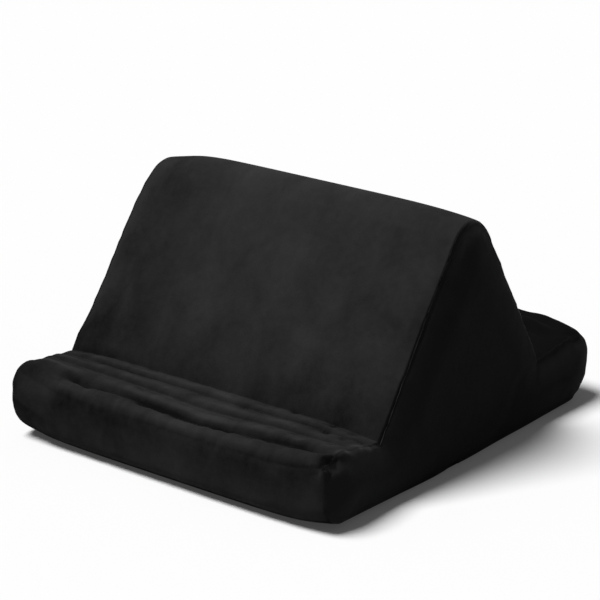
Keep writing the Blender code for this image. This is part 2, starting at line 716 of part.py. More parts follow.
def make_zip_pull():
    """The tab that hangs in the bail: a cross bar, an eye round the bail and a rounded grip."""
    bar = zip_heights()["bar"]
    place = (slider_x(), -ZIP_FORWARD, bar)
    centre = np.array(place[:2])
    low = bar - PULL_THICKNESS / 2
    high = bar + PULL_THICKNESS / 2
    start = PULL_BAR / 2
    neck_end = start - PULL_BAR - PULL_EYE_LENGTH - PULL_BAR
    half_neck = PULL_NECK_WIDTH / 2
    half_grip = PULL_WIDTH / 2
    tip = start - PULL_LENGTH
    outline = [(start, -half_neck), (start, half_neck), (neck_end, half_neck), (neck_end - half_neck, half_grip)]
    for step in range(7):
        angle = math.pi / 2 * (1 + step / 3)
        outline.append((tip + half_grip + half_grip * math.cos(angle), half_grip * math.sin(angle)))
    outline += [(neck_end - half_neck, -half_grip), (neck_end, -half_neck)]
    pull = slab("zip_pull", np.array(outline) + centre, low, high, "zip_metal", place)
    eye_start = start - PULL_BAR
    grip_hole_end = tip + PULL_GRIP_HOLE_FROM_END
    holes = (
        ("pull_eye", eye_start - PULL_EYE_LENGTH, eye_start, PULL_EYE_WIDTH),
        ("pull_grip_hole", grip_hole_end, grip_hole_end + PULL_GRIP_HOLE_LENGTH, PULL_GRIP_HOLE_WIDTH),
    )
    for name, near, far, width in holes:
        hole = np.array([(near, -width / 2), (far, -width / 2), (far, width / 2), (near, width / 2)])
        cutter = slab(name, hole + centre, low - CUT_OVERRUN, high + CUT_OVERRUN, "zip_metal", place)
        cut(pull, cutter)


def main():
    clear_scene()
    sections = stations()
    make_cover(sections)
    make_underside(sections)
    make_side_panels(sections[-1][1])
    make_ledge_padding(sections)
    make_foam(sections)
    make_zip_tapes()
    make_zip_coils()
    make_zip_slider()
    make_zip_pull()


main()
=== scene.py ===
import math

import bpy
import numpy as np
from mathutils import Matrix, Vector, noise
from mathutils.geometry import delaunay_2d_cdt


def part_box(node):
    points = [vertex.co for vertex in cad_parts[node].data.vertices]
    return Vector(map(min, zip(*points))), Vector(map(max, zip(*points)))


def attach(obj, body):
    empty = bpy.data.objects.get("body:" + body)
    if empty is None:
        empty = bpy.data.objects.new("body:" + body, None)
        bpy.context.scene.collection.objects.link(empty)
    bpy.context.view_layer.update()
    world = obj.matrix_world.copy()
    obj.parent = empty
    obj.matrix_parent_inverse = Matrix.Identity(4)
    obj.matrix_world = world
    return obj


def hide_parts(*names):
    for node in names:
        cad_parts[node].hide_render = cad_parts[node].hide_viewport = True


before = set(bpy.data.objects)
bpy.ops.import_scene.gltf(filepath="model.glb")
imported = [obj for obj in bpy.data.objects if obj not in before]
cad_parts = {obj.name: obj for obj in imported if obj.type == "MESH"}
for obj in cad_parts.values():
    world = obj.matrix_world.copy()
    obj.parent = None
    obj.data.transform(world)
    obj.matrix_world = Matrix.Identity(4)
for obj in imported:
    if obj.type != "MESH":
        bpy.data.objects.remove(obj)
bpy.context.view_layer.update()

MM = 0.001
CUSHION = "cushion"

# The cushion's outline, in the same sizes as its CAD solids
HALF_WIDTH = 149 * MM
HEIGHT = 193 * MM
RIDGE_RADIUS = 22.5 * MM
RIDGE_SETBACK = 4.5 * MM
FACE_ANGLE = math.radians(54.7)
BACK_ANGLE = math.radians(58.8)
FACE_CROWN = 2.2 * MM
FACE_BULGE = 1.8 * MM
FACE_BULGE_AT_SEAM = 0.8 * MM
SIDE_CROWN = 6 * MM
SIDE_ROLL = 0.9 * MM
SIDE_CROWN_REACH = 30 * MM
EDGE_LIFT = 0.8 * MM
EDGE_LIFT_FROM = 0.7
HEEL_SEAM = math.radians(20)
CROWN_EXPONENT = 5

# Each ledge's way out, the width of its channels, and in mm at its left seam, in the middle and at its
# right seam: its nose's reach, the heights of heel, crease and lip, and the radii of lip and heel.
# The left front and the right rear corner are stuffed fuller than the other two.
LEDGES = {
    "front": dict(
        toward=-1, channelled=66,
        reach=(174.6, 172.5, 170), lift=(3, 0, 4),
        crease=(51, 54, 50), lip=(58, 50, 59),
        lip_radius=(16, 16, 9), heel_radius=(28, 15, 22),
    ),
    "rear": dict(
        toward=1, channelled=68,
        reach=(173, 175, 175), lift=(2.5, 0, 2),
        crease=(52, 59, 53), lip=(58, 67, 60),
        lip_radius=(14, 24, 22), heel_radius=(28, 18, 28),
    ),
}

# The channels of each ledge, counted from the crease out to the lip
RIB_COUNT = 4
THIRD_RIB, LAST_RIB = RIB_COUNT - 2, RIB_COUNT - 1
RIB_LINES = (0, 0.2, 0.43, 0.72, 1)
RIB_PLACES = (0, 0.07, 0.2, 0.36, 0.5, 0.63, 0.78, 0.92)
RIB_HEIGHT = 4.2 * MM
RIB_CREST = 0.57
RIB_ROUNDNESS = 0.85
FRONT_RIB_SHARES = (0.55, 0.65, 0.95, 1.1)
REAR_RIB_SHARES = (0.4, 0.5, 1.2, 0.4)
LEFT_RIB_FADES = (14, 14, 16, 7)
RIGHT_RIB_FADES = (3, 3.5, 7, 6)
REAR_RIB_FULL_TO, REAR_RIB_END = 118 * MM, 140 * MM
DEEP_GROOVE, DEEP_GROOVE_REACH = 3 * MM, 4.2 * MM
LINE_SAGS = (0, 0, 4 * MM, 4.5 * MM, 0)
SAG_AT, SAG_REACH = 15 * MM, 36 * MM
PUFFY_FROM, PUFFY_FULL = -104 * MM, -120 * MM

# Unevenness along a channel: how much, how many waves of it to the metre, and two numbers that
# make it differ from channel to channel and from ledge to ledge
UNEVEN = {
    "stray": (0.9 * MM, 17, 6.1, 5),
    "lean": (0.16, 24, 5.3, 3),
    "swell": (0.24, 26, 4.7, 1),
    "lump": (0.2, 75, 8.3, 1),
    "pinch": (1, 95, 7.7, 4),
    # Broken streaks in the painted crest highlights
    "streak": (0.7, 48, 3.3, 9),
}
PINCH_SHARE = 0.3
GATHER, GATHER_WAVES = 0.95 * MM, 165
GROOVE_SHARE, GROOVE_WAVES = 0.6, 38
# Patches in the painted shade of the deep groove
PATCH_SHARE, PATCH_WAVES = 0.8, 30
FULL_LIP_SHARE = 0.85

# How the cloth sits over its seams and stuffing
SEAM_DIP, SEAM_ROLL = 1.3 * MM, 2 * MM
HEEL_SEAM_DIP = 0.7 * MM
SEAM_GATHER, SEAM_GATHER_REACH = 0.7 * MM, 6 * MM
REAR_CORNER_FROM = 99 * MM
REAR_CORNER_DIP, REAR_CORNER_REACH = 2.2 * MM, 15 * MM
FOOT_PLACE = np.array([-149, -103, 58]) * MM
FOOT_PUSH = np.array([-2.5, -2, 0]) * MM
FOOT_REACH = np.array([30, 22, 28]) * MM
TOP_CORNER = np.array([-149, 0, 192]) * MM
TOP_CORNER_PUSH = np.array([3.2, 0, -4.5]) * MM
TOP_CORNER_REACH = 30 * MM
CLOTH_FRAMES = 20
MOST_SWELLING, SIDE_SWELLING = 1.6 * MM, 0.25
EVEN_STEPS, EVEN_SHARE = 5, 0.6
NAP = 0.9 * MM
NAP_FROM, NAP_FULL = 3 * MM, 10 * MM

# Tucks, where a seam or a stitch pulls the cloth in, and below zero puffs beside them. By their way
# out of the cushion, in mm: place, depth, half width.
TUCKS_BY_WAY = {
    (0.45, -0.45, 0.77): [(149, -162.5, 58, 10, 6.5)],
    (0.3, -0.3, 0.9): [(147, -150, 58, -2.1, 4.6), (147, -130, 54, -2.1, 4.6)],
    (0.3, -0.9, 0.3): [(148, -172, 50, -0.7, 3)],
    (0.2, -0.5, 0.84): [(149, -175, 57, 4, 5)],
    (0, -0.1, 1): [
        (142, -117, 54, 2.2, 3.2), (129, -124, 55, 2.0, 3.2), (128, -110, 54, 1.4, 3.2),
        (112, -121, 55, 2.4, 3.6), (110, -109, 55, 1.7, 3.2), (131, -139, 56, 1.2, 3.6),
        (96, -137, 55, 1.4, 3.4), (73, -108, 55, 1.6, 3.2), (36, -121, 56, 1.4, 3.4),
    ],
    (0.5, 0.4, 0.77): [(149, 153, 58, 3, 6)],
    (-0.5, 0.4, 0.77): [(-149, 159, 58, 4, 6)],
}
TUCKS = [
    (np.array(tuck[:3]) * MM, np.array(out) / np.linalg.norm(out), tuck[3] * MM, tuck[4] * MM)
    for out, tucks in TUCKS_BY_WAY.items()
    for tuck in tucks
]
PIT_FROM_DEPTH = 2.5 * MM
TUCK_CREASES, TUCK_CREASE_SHARE = 7, 0.14
UNDER_TUCK = 1.45

# The zip under the cushion. Its hem folds up beside the slot: (out from the slot, up) in mm.
ZIP_LINE = -15 * MM
ZIP_SLOT = 8.4 * MM
ZIP_HEM = 7 * MM
ZIP_VALLEY = 15 * MM
ZIP_RECESS = 4 * MM
ZIP_END = 138 * MM
ZIP_END_DROP = 2.9 * MM
HEM_FOLD = ((4.5, 0), (1.2, 0), (0.3, 0.15), (0, 0.7), (0.4, 1.4), (2.5, 1.5))

# The left panel's foot arches over the pull, which reaches under it when the slider is at that
# end: (across the zip, up) in mm, the same on both sides of the middle
ARCH_SIDE = ((4.3, 1.1), (3.7, 2.6), (3.2, 3.3))
PULL_ARCH = np.array([*ARCH_SIDE, (0, 3.4), *((-across, up) for across, up in ARCH_SIDE[::-1])]) * MM

# How finely the cloth is drawn
HEEL_ROWS, NOSE_ROWS, LIP_ROWS, FACE_ROWS, RIDGE_ROWS = 6, 4, 6, 32, 12
UNDER_HEEL_ROWS, FLAT_ROWS, VALLEY_ROWS = 4, 15, 8
STATION_INSETS_MM = (0, 0.5, 1.1, 2, 3.2, 4.8, 7, 10, 13.5, 17.5)
INNER_STATIONS = 106
SIDE_SPACING = 4 * MM
SIDE_RING_INSETS = (0.45 * MM, 1.1 * MM, 2.2 * MM, 3.8 * MM)
SIDE_GRID_INSET = 5.4 * MM
SAME_PLACE = 1e-6

# Thread, coil and wadding
THREAD_RADIUS = 0.22 * MM
STITCH_SHARE = 0.8
STITCH_STEPS = (0, 0.2, 0.5, 0.8, 1)
STITCH_HEIGHTS = (-1.6, 0.5, 0.9, 0.5, -1.6)
LEDGE_STITCH, LEDGE_STITCH_SINK = 3.4 * MM, 0.1 * MM
REAR_STITCHES_TO = 120 * MM
HEM_STITCH, HEM_ROWS_APART = 3 * MM, 2.4 * MM
TUBE_SIDES = 6
COIL_PITCH, COIL_WIRE, COIL_LOCK, COIL_STEPS = 2 * MM, 0.34 * MM, 0.9 * MM, 12
WADDING_STATIONS, WADDING_WIDTH, WADDING_FILL = 61, 0.99, 0.8
WADDING_TOP, WADDING_FOOT = 4.6 * MM, 5.6 * MM
WADDING_FROM_CREASE = 1.5 * MM

# Painted light and shade on the velvet, one value per point: above zero paints it lighter, below zero darker
# Painted shade over the ledges, painted highlights on the crests, painted shade in the grooves, towards the
# lip's edge and in the crease
LEDGE_PAINTED_SHADE = -0.14
CREST_PAINTED_HIGHLIGHTS, CREST_REACH = (0.3, 0.3, 0.38, 0.2), 0.12
GROOVE_PAINTED_SHADE, DEEP_GROOVE_PAINTED_SHADE, LIP_EDGE_PAINTED_SHADE = -0.2, -0.42, -0.28
CREASE_PAINTED_SHADE = -0.3
# Painted shade at the face's foot, painted light towards its top, a painted highlight along the ridge
FACE_FOOT_PAINTED_SHADE, FACE_TOP_PAINTED_LIGHT = -0.24, 0.05
RIDGE_PAINTED_HIGHLIGHT = 0.12
# Painted contact shadow at the heel, painted shade up the roll and over the lip, lighter at the front roll's
# right end
ROLL_PAINTED_SHADE_STEPS = ((0, 0.1, 0.22, 0.45, 0.8, 1), (-0.9, -0.8, -0.05, -0.2, -0.42, -0.42))
ROLL_RIGHT_PAINTED_LIGHT = 0.14
# Painted shadow over the rear ledge, weaker at its left end and corners
REAR_PAINTED_SHADOW, REAR_SHADOW_LEFT_SHARE, REAR_SHADOW_CORNER_SHARE = -0.95, 0.35, 0.3
# Painted shade towards the left end and on the upper right, painted light in the middle
LEFT_PAINTED_SHADE, MIDDLE_PAINTED_LIGHT, RIGHT_PAINTED_SHADE = -0.14, 0.08, -0.07
MIDDLE_PAINTED_LIGHT_REACH = 75 * MM
# Painted shadow along the side seams; on the side panels lighter towards the front and at the rear corner, a
# painted highlight below the ridge and painted shade along the rear corner's seam
SEAM_PAINTED_SHADOW, SEAM_SHADE = -0.9, 1.6 * MM
SIDE_FRONT_PAINTED_LIGHT, SIDE_RIDGE_PAINTED_HIGHLIGHT = 0.22, 0.5
SIDE_REAR_PAINTED_LIGHT, REAR_SEAM_PAINTED_SHADE = 0.1, -0.45
# Painted shade under the cushion; in the tucks painted shade, and a painted highlight on the puffs beside
# them
UNDERSIDE_PAINTED_SHADE = -0.2
TUCK_PAINTED_SHADES = {"pit": -1, "pinch": -0.4, "puff": 0.5}

# The velvet's pattern sizes, and the range of its sheen weight, which follows the mottling and the painted
# light and shade
BLOTCH, DENT, GRAIN = 34 * MM, 6 * MM, 0.7 * MM
DENT_SHARE, GRAIN_AMOUNT = 0.35, 0.35
LEAST_BLOOM, MOST_BLOOM = 0.0464, 0.957

# A wave pattern of scale 1 repeats after this many metres
WAVE_REPEAT = 0.314

# The studio
FLOOR_REACH = 6
FLOOR_COLOUR = "#f6f6f6"
FLOOR_BOUNCE = "#929292"
FLOOR_GLOW = 0.042
SURROUND = 0.06
SOFTBOX_TOWARD = Vector((-0.255, -0.33, 0.909))
SOFTBOX_STRENGTH = 3.35
SOFTBOX_ANGLE = math.radians(26)
CAMERA_PLACE = Vector((1.08636, -1.38402, 0.72155))
CAMERA_AIM = Vector((-0.0043, -0.003, 0.0970))
LENS_MM, SENSOR_MM = 144, 36


def linear(hex_colour):
    """sRGB hex to the linear colour that a shader takes."""
    values = [int(hex_colour[i : i + 2], 16) / 255 for i in (1, 3, 5)]
    return [v / 12.92 if v <= 0.04045 else ((v + 0.055) / 1.055) ** 2.4 for v in values] + [1]


def add_node(tree, kind, links=(), **settings):
    """Adds a node, sets its properties and sockets, and links its inputs: links holds (input, socket)."""
    node = tree.nodes.new(kind)
    for name, value in settings.items():
        if hasattr(node, name):
            setattr(node, name, value)
        else:
            node.inputs[name.replace("_", " ")].default_value = value
    for name, source in links:
        tree.links.new(source, node.inputs[name])
    return node


def new_material(name):
    material = bpy.data.materials.new(name)
    material.use_nodes = True
    material.node_tree.nodes.clear()
    return material.node_tree


def give_surface(tree, links, **settings):
    surface = add_node(tree, "ShaderNodeBsdfPrincipled", links, **settings)
    add_node(tree, "ShaderNodeOutputMaterial", [("Surface", surface.outputs[0])])


def velvet(name, dark, light, mottle):
    """Short-pile polyester velvet: nearly black, with a grey bloom where the pile is seen edge-on.

    Hands leave the pile lying one way or another, which shows as soft blotches two to four
    centimetres across, a little longer the way the cloth was stroked. Small dents and a fine
    grain break them up. Single fibres are about 0.1 mm and too fine to show, so the grain is
    drawn at 0.7 mm.
    """
    tree = new_material(name)
    place = add_node(tree, "ShaderNodeTexCoord").outputs["Object"]
    stroked = add_node(tree, "ShaderNodeMapping", [("Vector", place)], Scale=(1, 0.75, 0.75)).outputs[0]
    # A point attribute holds the painted light and shade; added to the mottling, it sets the colour and the
    # sheen weight
    tone = add_node(tree, "ShaderNodeAttribute", attribute_name="painted_light_and_shade").outputs["Fac"]
    patterns = (
        (stroked, mottle, dict(Scale=1 / BLOTCH, Detail=4, Roughness=0.55, Distortion=0.3)),
        (place, mottle * DENT_SHARE, dict(Scale=1 / DENT, Detail=4, Roughness=0.6)),
        (place, GRAIN_AMOUNT, dict(Scale=1 / GRAIN, Detail=2, Roughness=0.7)),
    )
    drawn = []
    for where, amount, look in patterns:
        drawn.append(add_node(tree, "ShaderNodeTexNoise", [("Vector", where)], **look).outputs[0])
        mixed = add_node(tree, "ShaderNodeMath", [(0, drawn[-1]), (2, tone)], operation="MULTIPLY_ADD")
        mixed.inputs[1].default_value = amount
        tone = mixed.outputs[0]
    middle = sum(amount for _, amount, _ in patterns) / 2
    around = dict(From_Min=middle - 0.5, From_Max=middle + 0.5)
    # Mottling plus painted light and shade, mapped to 0 to 1 around their middle
    mottle_and_painted_shading = add_node(tree, "ShaderNodeMapRange", [("Value", tone)], **around).outputs[0]
    tones = dict(A=linear(dark), B=linear(light))
    colour = add_node(tree, "ShaderNodeMix", [("Factor", mottle_and_painted_shading)], data_type="RGBA", **tones)
    bloom = add_node(tree, "ShaderNodeMapRange", [("Value", mottle_and_painted_shading)], To_Min=LEAST_BLOOM, To_Max=MOST_BLOOM)
    relief = add_node(tree, "ShaderNodeMath", [(0, drawn[1]), (1, drawn[2])], operation="ADD").outputs[0]
    normal = add_node(tree, "ShaderNodeBump", [("Height", relief)], Strength=0.35, Distance=0.5 * MM)
    colour, bloom, normal = colour.outputs[2], bloom.outputs[0], normal.outputs[0]
    links = [("Base Color", colour), ("Sheen Weight", bloom), ("Normal", normal)]
    sheen = dict(Sheen_Roughness=0.4, Sheen_Tint=linear("#8d8d8d"))
    give_surface(tree, links, Roughness=0.95, Specular_IOR_Level=0.1, **sheen)


def patterned(name, tones, roughness, relief, kind, output, slant=0, **pattern):
    """A matt finish whose pattern shows as two tones and as a relief: (strength, depth)."""
    tree = new_material(name)
    place = add_node(tree, "ShaderNodeTexCoord").outputs["Object"]
    turned = add_node(tree, "ShaderNodeMapping", [("Vector", place)], Rotation=(0, 0, slant)).outputs[0]
    drawn = add_node(tree, kind, [("Vector", turned)], **pattern).outputs[output]
    shade = add_node(tree, "ShaderNodeMix", [("Factor", drawn)], data_type="RGBA", A=tones[0], B=tones[1])
    normal = add_node(tree, "ShaderNodeBump", [("Height", drawn)], Strength=relief[0], Distance=relief[1])
    give_surface(tree, [("Base Color", shade.outputs[2]), ("Normal", normal.outputs[0])], Roughness=roughness)


def woven(name, colour, thread_mm, roughness, relief=0.4):
    """A plain-woven or felted cloth: its threads show as a faint relief at their own spacing."""
    tones = [[min(1, v * shade) for v in linear(colour)[:3]] + [1] for shade in (0.7, 1.3)]
    threads = dict(kind="ShaderNodeTexNoise", output=0, Scale=1 / (thread_mm * MM), Detail=2)
    patterned(name, tones, roughness, (relief, 0.2 * MM), **threads)


def open_cell_foam():
    """Cut polyurethane foam: cream, matt, with cells of about 0.8 mm that make it look like fine bread."""
    cells = dict(kind="ShaderNodeTexVoronoi", output="Distance", Scale=1 / (0.8 * MM))
    patterned("open_cell_foam", (linear("#b9b19a"), linear("#ddd6c2")), 0.95, (0.6, 0.4 * MM), **cells)


def zip_tape():
    """Twill-woven polyester tape: fine ribs 0.9 mm apart run slantwise along the zip."""
    ribs = dict(kind="ShaderNodeTexWave", output="Fac", Scale=WAVE_REPEAT / (0.9 * MM), Distortion=0.6)
    tones = (linear("#0f0f10"), linear("#242425"))
    patterned("twill_zip_tape", tones, 0.8, (0.5, 0.15 * MM), slant=math.radians(35), **ribs)


def smooth_finish(name, colour, roughness, wear_mm, coat=0.0):
    """An extruded or painted surface: slightly uneven gloss, from handling, in spots of wear_mm."""
    tree = new_material(name)
    place = add_node(tree, "ShaderNodeTexCoord").outputs["Object"]
    wear = add_node(tree, "ShaderNodeTexNoise", [("Vector", place)], Scale=1 / (wear_mm * MM), Detail=3)
    spread = dict(From_Min=0.3, From_Max=0.7, To_Min=roughness - 0.08, To_Max=roughness + 0.1)
    gloss = add_node(tree, "ShaderNodeMapRange", [("Value", wear.outputs[0])], **spread).outputs[0]
    paint = dict(Base_Color=linear(colour), Coat_Weight=coat, Coat_Roughness=0.25)
    give_surface(tree, [("Roughness", gloss)], **paint)


def make_materials():
    velvet("brushed_velvet", "#080808", "#343434", 0.8)
    velvet("smooth_velvet", "#090909", "#2d2d2d", 0.3)
    # A painted highlight line along the side seams, as a thin grey tube
    woven("velvet_ground_cloth", "#2c2c2c", 0.4, 0.9)
    woven("polyester_thread", "#0c0c0c", 0.25, 0.85)
    woven("plain_weave_lining", "#161617", 0.5, 0.85)
    woven("polyester_wadding", "#e6e6e4", 1.5, 0.95, 0.8)
    open_cell_foam()
    zip_tape()
    smooth_finish("nylon_coil", "#121213", 0.38, 3)
    smooth_finish("painted_zinc", "#1b1b1c", 0.35, 5, coat=0.3)


def ramp(value, start, end):
    """0 at start and before it, 1 at end and past it, with a soft change between."""
    share = np.clip((value - start) / (end - start), 0, 1)
    return share * share * (3 - 2 * share)


def bell(distance, reach):
    """1 at distance 0, falling softly to about a third at reach."""
    return np.exp(-((distance / reach) ** 2))


def wander(*place):
    """Soft irregularity between about -1 and 1, the same on every run."""
    return noise.noise(Vector(place)) * 1.6


def uneven(kind, name, x, channel):
    """That kind of unevenness at x, on a channel or stitch line of a ledge."""
    amount, waves, by_channel, by_ledge = UNEVEN[kind]
    return amount * wander(x * waves, channel * by_channel, LEDGES[name]["toward"] * by_ledge)


class Ledge:
    """One ledge and its roll in the section at one station."""

    def __init__(self, name, x, full, lifted, face_point, face_out, angle):
        sizes = LEDGES[name]
        end = 0 if x < 0 else 2

        def size(key, share):
            at_seam, in_middle = sizes[key][end], sizes[key][1]
            return (at_seam + (in_middle - at_seam) * share) * MM

        self.toward = sizes["toward"]
        self.lift = size("lift", 1 - lifted)
        self.lip_radius, self.heel_radius = size("lip_radius", full), size("heel_radius", full)
        reach, height = size("reach", full), size("crease", full)
        foot = face_point[0] + self.toward * (face_point[1] - height) / math.tan(angle)
        self.crease = np.array([foot, height])
        self.lip = np.array([self.toward * (reach - self.lip_radius), size("lip", full)])
        self.nose = self.toward * reach
        self.run = np.linalg.norm(self.lip - self.crease)
        along = (self.lip - self.crease) / self.run
        self.out = np.array([-along[1], along[0]]) * self.toward
        self.face_out = face_out

    def whole(self):
        return self.run + self.lip_radius * math.pi / 2

    def top(self, distance):
        """A point that far from the crease, over the ledge's top and lip, and the way out there."""
        if distance <= self.run:
            return self.crease + (self.lip - self.crease) * distance / self.run, self.out
        turn = (distance - self.run) / self.lip_radius
        out = np.array([self.toward * math.sin(turn), math.cos(turn)])
        return self.lip + (out - np.array([0, 1])) * self.lip_radius, out

    def heel(self, angle):
        """A point of the round under the nose, from 0 at its foot, and the way out there."""
        out = np.array([self.toward * math.sin(angle), -math.cos(angle)])
        centre = np.array([self.nose - self.toward * self.heel_radius, self.lift + self.heel_radius])
        return centre + out * self.heel_radius, out


class Section:
    """The outline across the cushion at x."""

    def __init__(self, x):
        share = min(1, abs(x) / HALF_WIDTH)
        self.share = share
        self.full = 1 - share**CROWN_EXPONENT
        lifted = max(0, (share - EDGE_LIFT_FROM) / (1 - EDGE_LIFT_FROM)) ** 2
        self.edge_lift = EDGE_LIFT * lifted
        self.face_out = np.array([-math.sin(FACE_ANGLE), math.cos(FACE_ANGLE)])
        self.back_out = np.array([math.sin(BACK_ANGLE), math.cos(BACK_ANGLE)])
        half_corner = (math.pi - FACE_ANGLE - BACK_ANGLE) / 2
        inward = -(self.face_out + self.back_out) / np.linalg.norm(self.face_out + self.back_out)
        sunk = FACE_CROWN * (1 - self.full) / math.sin(half_corner)
        self.ridge = np.array([RIDGE_SETBACK, HEIGHT - RIDGE_RADIUS]) + inward * sunk
        self.face_top = self.ridge + self.face_out * RIDGE_RADIUS
        self.back_top = self.ridge + self.back_out * RIDGE_RADIUS
        self.front = Ledge("front", x, self.full, lifted, self.face_top, self.face_out, FACE_ANGLE)
        self.rear = Ledge("rear", x, self.full, lifted, self.back_top, self.back_out, BACK_ANGLE)


def sagging(name, x):
    """1 right of the middle of the front ledge, where the third rib has slumped forward."""
    return bell(x - SAG_AT, SAG_REACH) if name == "front" else 0


def puffy(name, x):
    """1 at the left end of the front ledge, where the last groove runs out into a smooth, full lip."""
    return ramp(x, PUFFY_FROM, PUFFY_FULL) if name == "front" else 0


def rib_line(name, x, line):
    """How far a stitch line lies from the crease: it strays from straight and sags with the third rib."""
    at = LEDGES[name]["channelled"] * MM * RIB_LINES[line]
    strays = uneven("stray", name, x, line) if line else 0
    return at + strays + LINE_SAGS[line] * sagging(name, x)


def rib_profile(name, x, rib, across):
    """A channel's height across it, 0 at its stitch lines and 1 at its crest, which leans to and fro."""
    leaning = min(1, max(0, across + uneven("lean", name, x, rib) * math.sin(math.pi * across)))
    profile = math.sin(math.pi * leaning ** (math.log(0.5) / math.log(RIB_CREST))) ** RIB_ROUNDNESS
    past_crest = leaning > RIB_CREST
    if rib == LAST_RIB and past_crest:
        profile = 1 - ramp(leaning, RIB_CREST, 1)
    elif rib == LAST_RIB or (rib == THIRD_RIB and past_crest):
        profile += max(0, FULL_LIP_SHARE - profile) * puffy(name, x)
    return profile


def rib_share(name, x, share, rib):
    """How much of a channel's full height is left at x: the ribs die out towards the side seams."""
    if name == "rear":
        return REAR_RIB_SHARES[rib] * ramp(abs(x), REAR_RIB_END, REAR_RIB_FULL_TO)
    lost = share ** (LEFT_RIB_FADES if x < 0 else RIGHT_RIB_FADES)[rib]
    lowered = 0.45 * puffy(name, x) * (rib == LAST_RIB) + 0.25 * sagging(name, x) * (rib == THIRD_RIB)
    return FRONT_RIB_SHARES[rib] * (1 - lost) * (1 - lowered)


def rib_rise(name, x, share, rib, across):
    """Height of a channel's cloth, uneven along it. The groove before the last rib is deeper, in patches."""
    side = LEDGES[name]["toward"]
    profile = rib_profile(name, x, rib, across)
    swell = 1 + uneven("swell", name, x, rib) + uneven("lump", name, x, rib)
    pinch = PINCH_SHARE * max(0, uneven("pinch", name, x, rib) - 0.25)
    gather = GATHER * wander(x * GATHER_WAVES, rib * 3.1 + across * 0.9, side * 2) * (1 - profile * 0.55)
    rise = RIB_HEIGHT * profile * swell * (1 - pinch) + gather * (across > 0)
    rise *= rib_share(name, x, share, rib)
    if rib < THIRD_RIB:
        return rise
    gap = across if rib == LAST_RIB else 1 - across
    width = rib_line(name, x, rib + 1) - rib_line(name, x, rib)
    patchy = (0.75 + GROOVE_SHARE * wander(x * GROOVE_WAVES, 2.5, side)) * (1 - puffy(name, x))
    patchy *= 1 - share ** LEFT_RIB_FADES[-1]
    return rise - DEEP_GROOVE * bell(gap * width, DEEP_GROOVE_REACH) * patchy


def rib_painted_shading(name, x, rib, across):
    """Painted light and shade on a rib: a painted highlight along its crest, in broken streaks, painted shade
    in the grooves and towards the lip's edge, over a little painted shade on the whole ledge.
    """
    full_lip = 1 - puffy(name, x)
    shown = full_lip * (1 - (abs(x) / HALF_WIDTH) ** 5)
    streaks = 0.7 + uneven("streak", name, x, rib)
    patches = 0.7 + PATCH_SHARE * wander(x * PATCH_WAVES, 6.5, rib * 0.4)
    crest = CREST_PAINTED_HIGHLIGHTS[rib] * streaks * bell(across - RIB_CREST, CREST_REACH)
    crest *= 1 - max(0, x / HALF_WIDTH) ** 4
    if rib == LAST_RIB:
        groove = DEEP_GROOVE_PAINTED_SHADE * patches * ramp(across, 0.4, 0.1)
        return LEDGE_PAINTED_SHADE + LIP_EDGE_PAINTED_SHADE * ramp(across, 0.68, 1) * full_lip + (crest + groove) * shown
    if rib == THIRD_RIB:
        groove = DEEP_GROOVE_PAINTED_SHADE * patches * ramp(across, 0.68, 0.9)
    else:
        groove = GROOVE_PAINTED_SHADE * bell(min(across, 1 - across), CREST_REACH)
    return LEDGE_PAINTED_SHADE + crest + groove * shown


def rear_painted_shadow(name, x):
    """Painted shadow over the rear ledge, darkest at its right end."""
    if name == "front":
        return 0
    return REAR_PAINTED_SHADOW * (REAR_SHADOW_LEFT_SHARE + (1 - REAR_SHADOW_LEFT_SHARE) * ramp(x, -20 * MM, 100 * MM))


def roll_painted_shading(name, x, count):
    """Painted light and shade over a ledge's roll, in count rows from the heel seam up to the last stitch
    line: a painted contact shadow at the heel, painted shade up the roll and over the lip, lighter at the
    front roll's right end.
    """
    painted_shadings = np.interp(np.linspace(0, 1, count), *ROLL_PAINTED_SHADE_STEPS)
    painted_shadings[count // 2 :] *= 1 - 0.9 * puffy(name, x)
    if name == "front":
        painted_shadings += ROLL_RIGHT_PAINTED_LIGHT * ramp(x, 50 * MM, 120 * MM)
    return painted_shadings + rear_painted_shadow(name, x) * (1 - (1 - REAR_SHADOW_CORNER_SHARE) * ramp(abs(x), 112 * MM, 140 * MM))


def ledge_point(name, ledge, x, share, rib, across):
    """A point of a channel's foot, its way out, and how high the cloth rises over it."""
    low, high = rib_line(name, x, rib), rib_line(name, x, rib + 1)
    point, out = ledge.top(low + (high - low) * across)
    return point, out, rib_rise(name, x, share, rib, across)


def ledge_line(name, ledge, x, share):
    """Rows from the heel seam up to the crease: (y, z, out y, out z, pinned, painted light and shade)."""
    round_heel = math.pi / 2 - HEEL_SEAM
    roll = [ledge.heel(HEEL_SEAM + round_heel * step / HEEL_ROWS) for step in range(HEEL_ROWS + 1)]
    nose, nose_out = ledge.top(ledge.whole())
    heel_top = roll[-1][0]
    roll += [(heel_top + (nose - heel_top) * step / NOSE_ROWS, nose_out) for step in range(1, NOSE_ROWS)]
    back = rib_line(name, x, RIB_COUNT) - ledge.whole()
    roll += [ledge.top(ledge.whole() + back * step / LIP_ROWS) for step in range(LIP_ROWS + 1)]
    rows = [(*point, *out, 0, painted_shading) for (point, out), painted_shading in zip(roll, roll_painted_shading(name, x, len(roll)))]
    for rib in reversed(range(RIB_COUNT)):
        for across in reversed(RIB_PLACES):
            point, out, rise = ledge_point(name, ledge, x, share, rib, across)
            pinned = (across == 0) * (1 - puffy(name, x) * (rib == LAST_RIB))
            painted_shading = rib_painted_shading(name, x, rib, across) + rear_painted_shadow(name, x)
            rows.append((*(point + out * rise), *out, pinned, painted_shading))
    middle_out = ledge.out + ledge.face_out
    # Painted shade in the crease
    rows[-1] = (*ledge.crease, *(middle_out / np.linalg.norm(middle_out)), 1, CREASE_PAINTED_SHADE)
    return rows


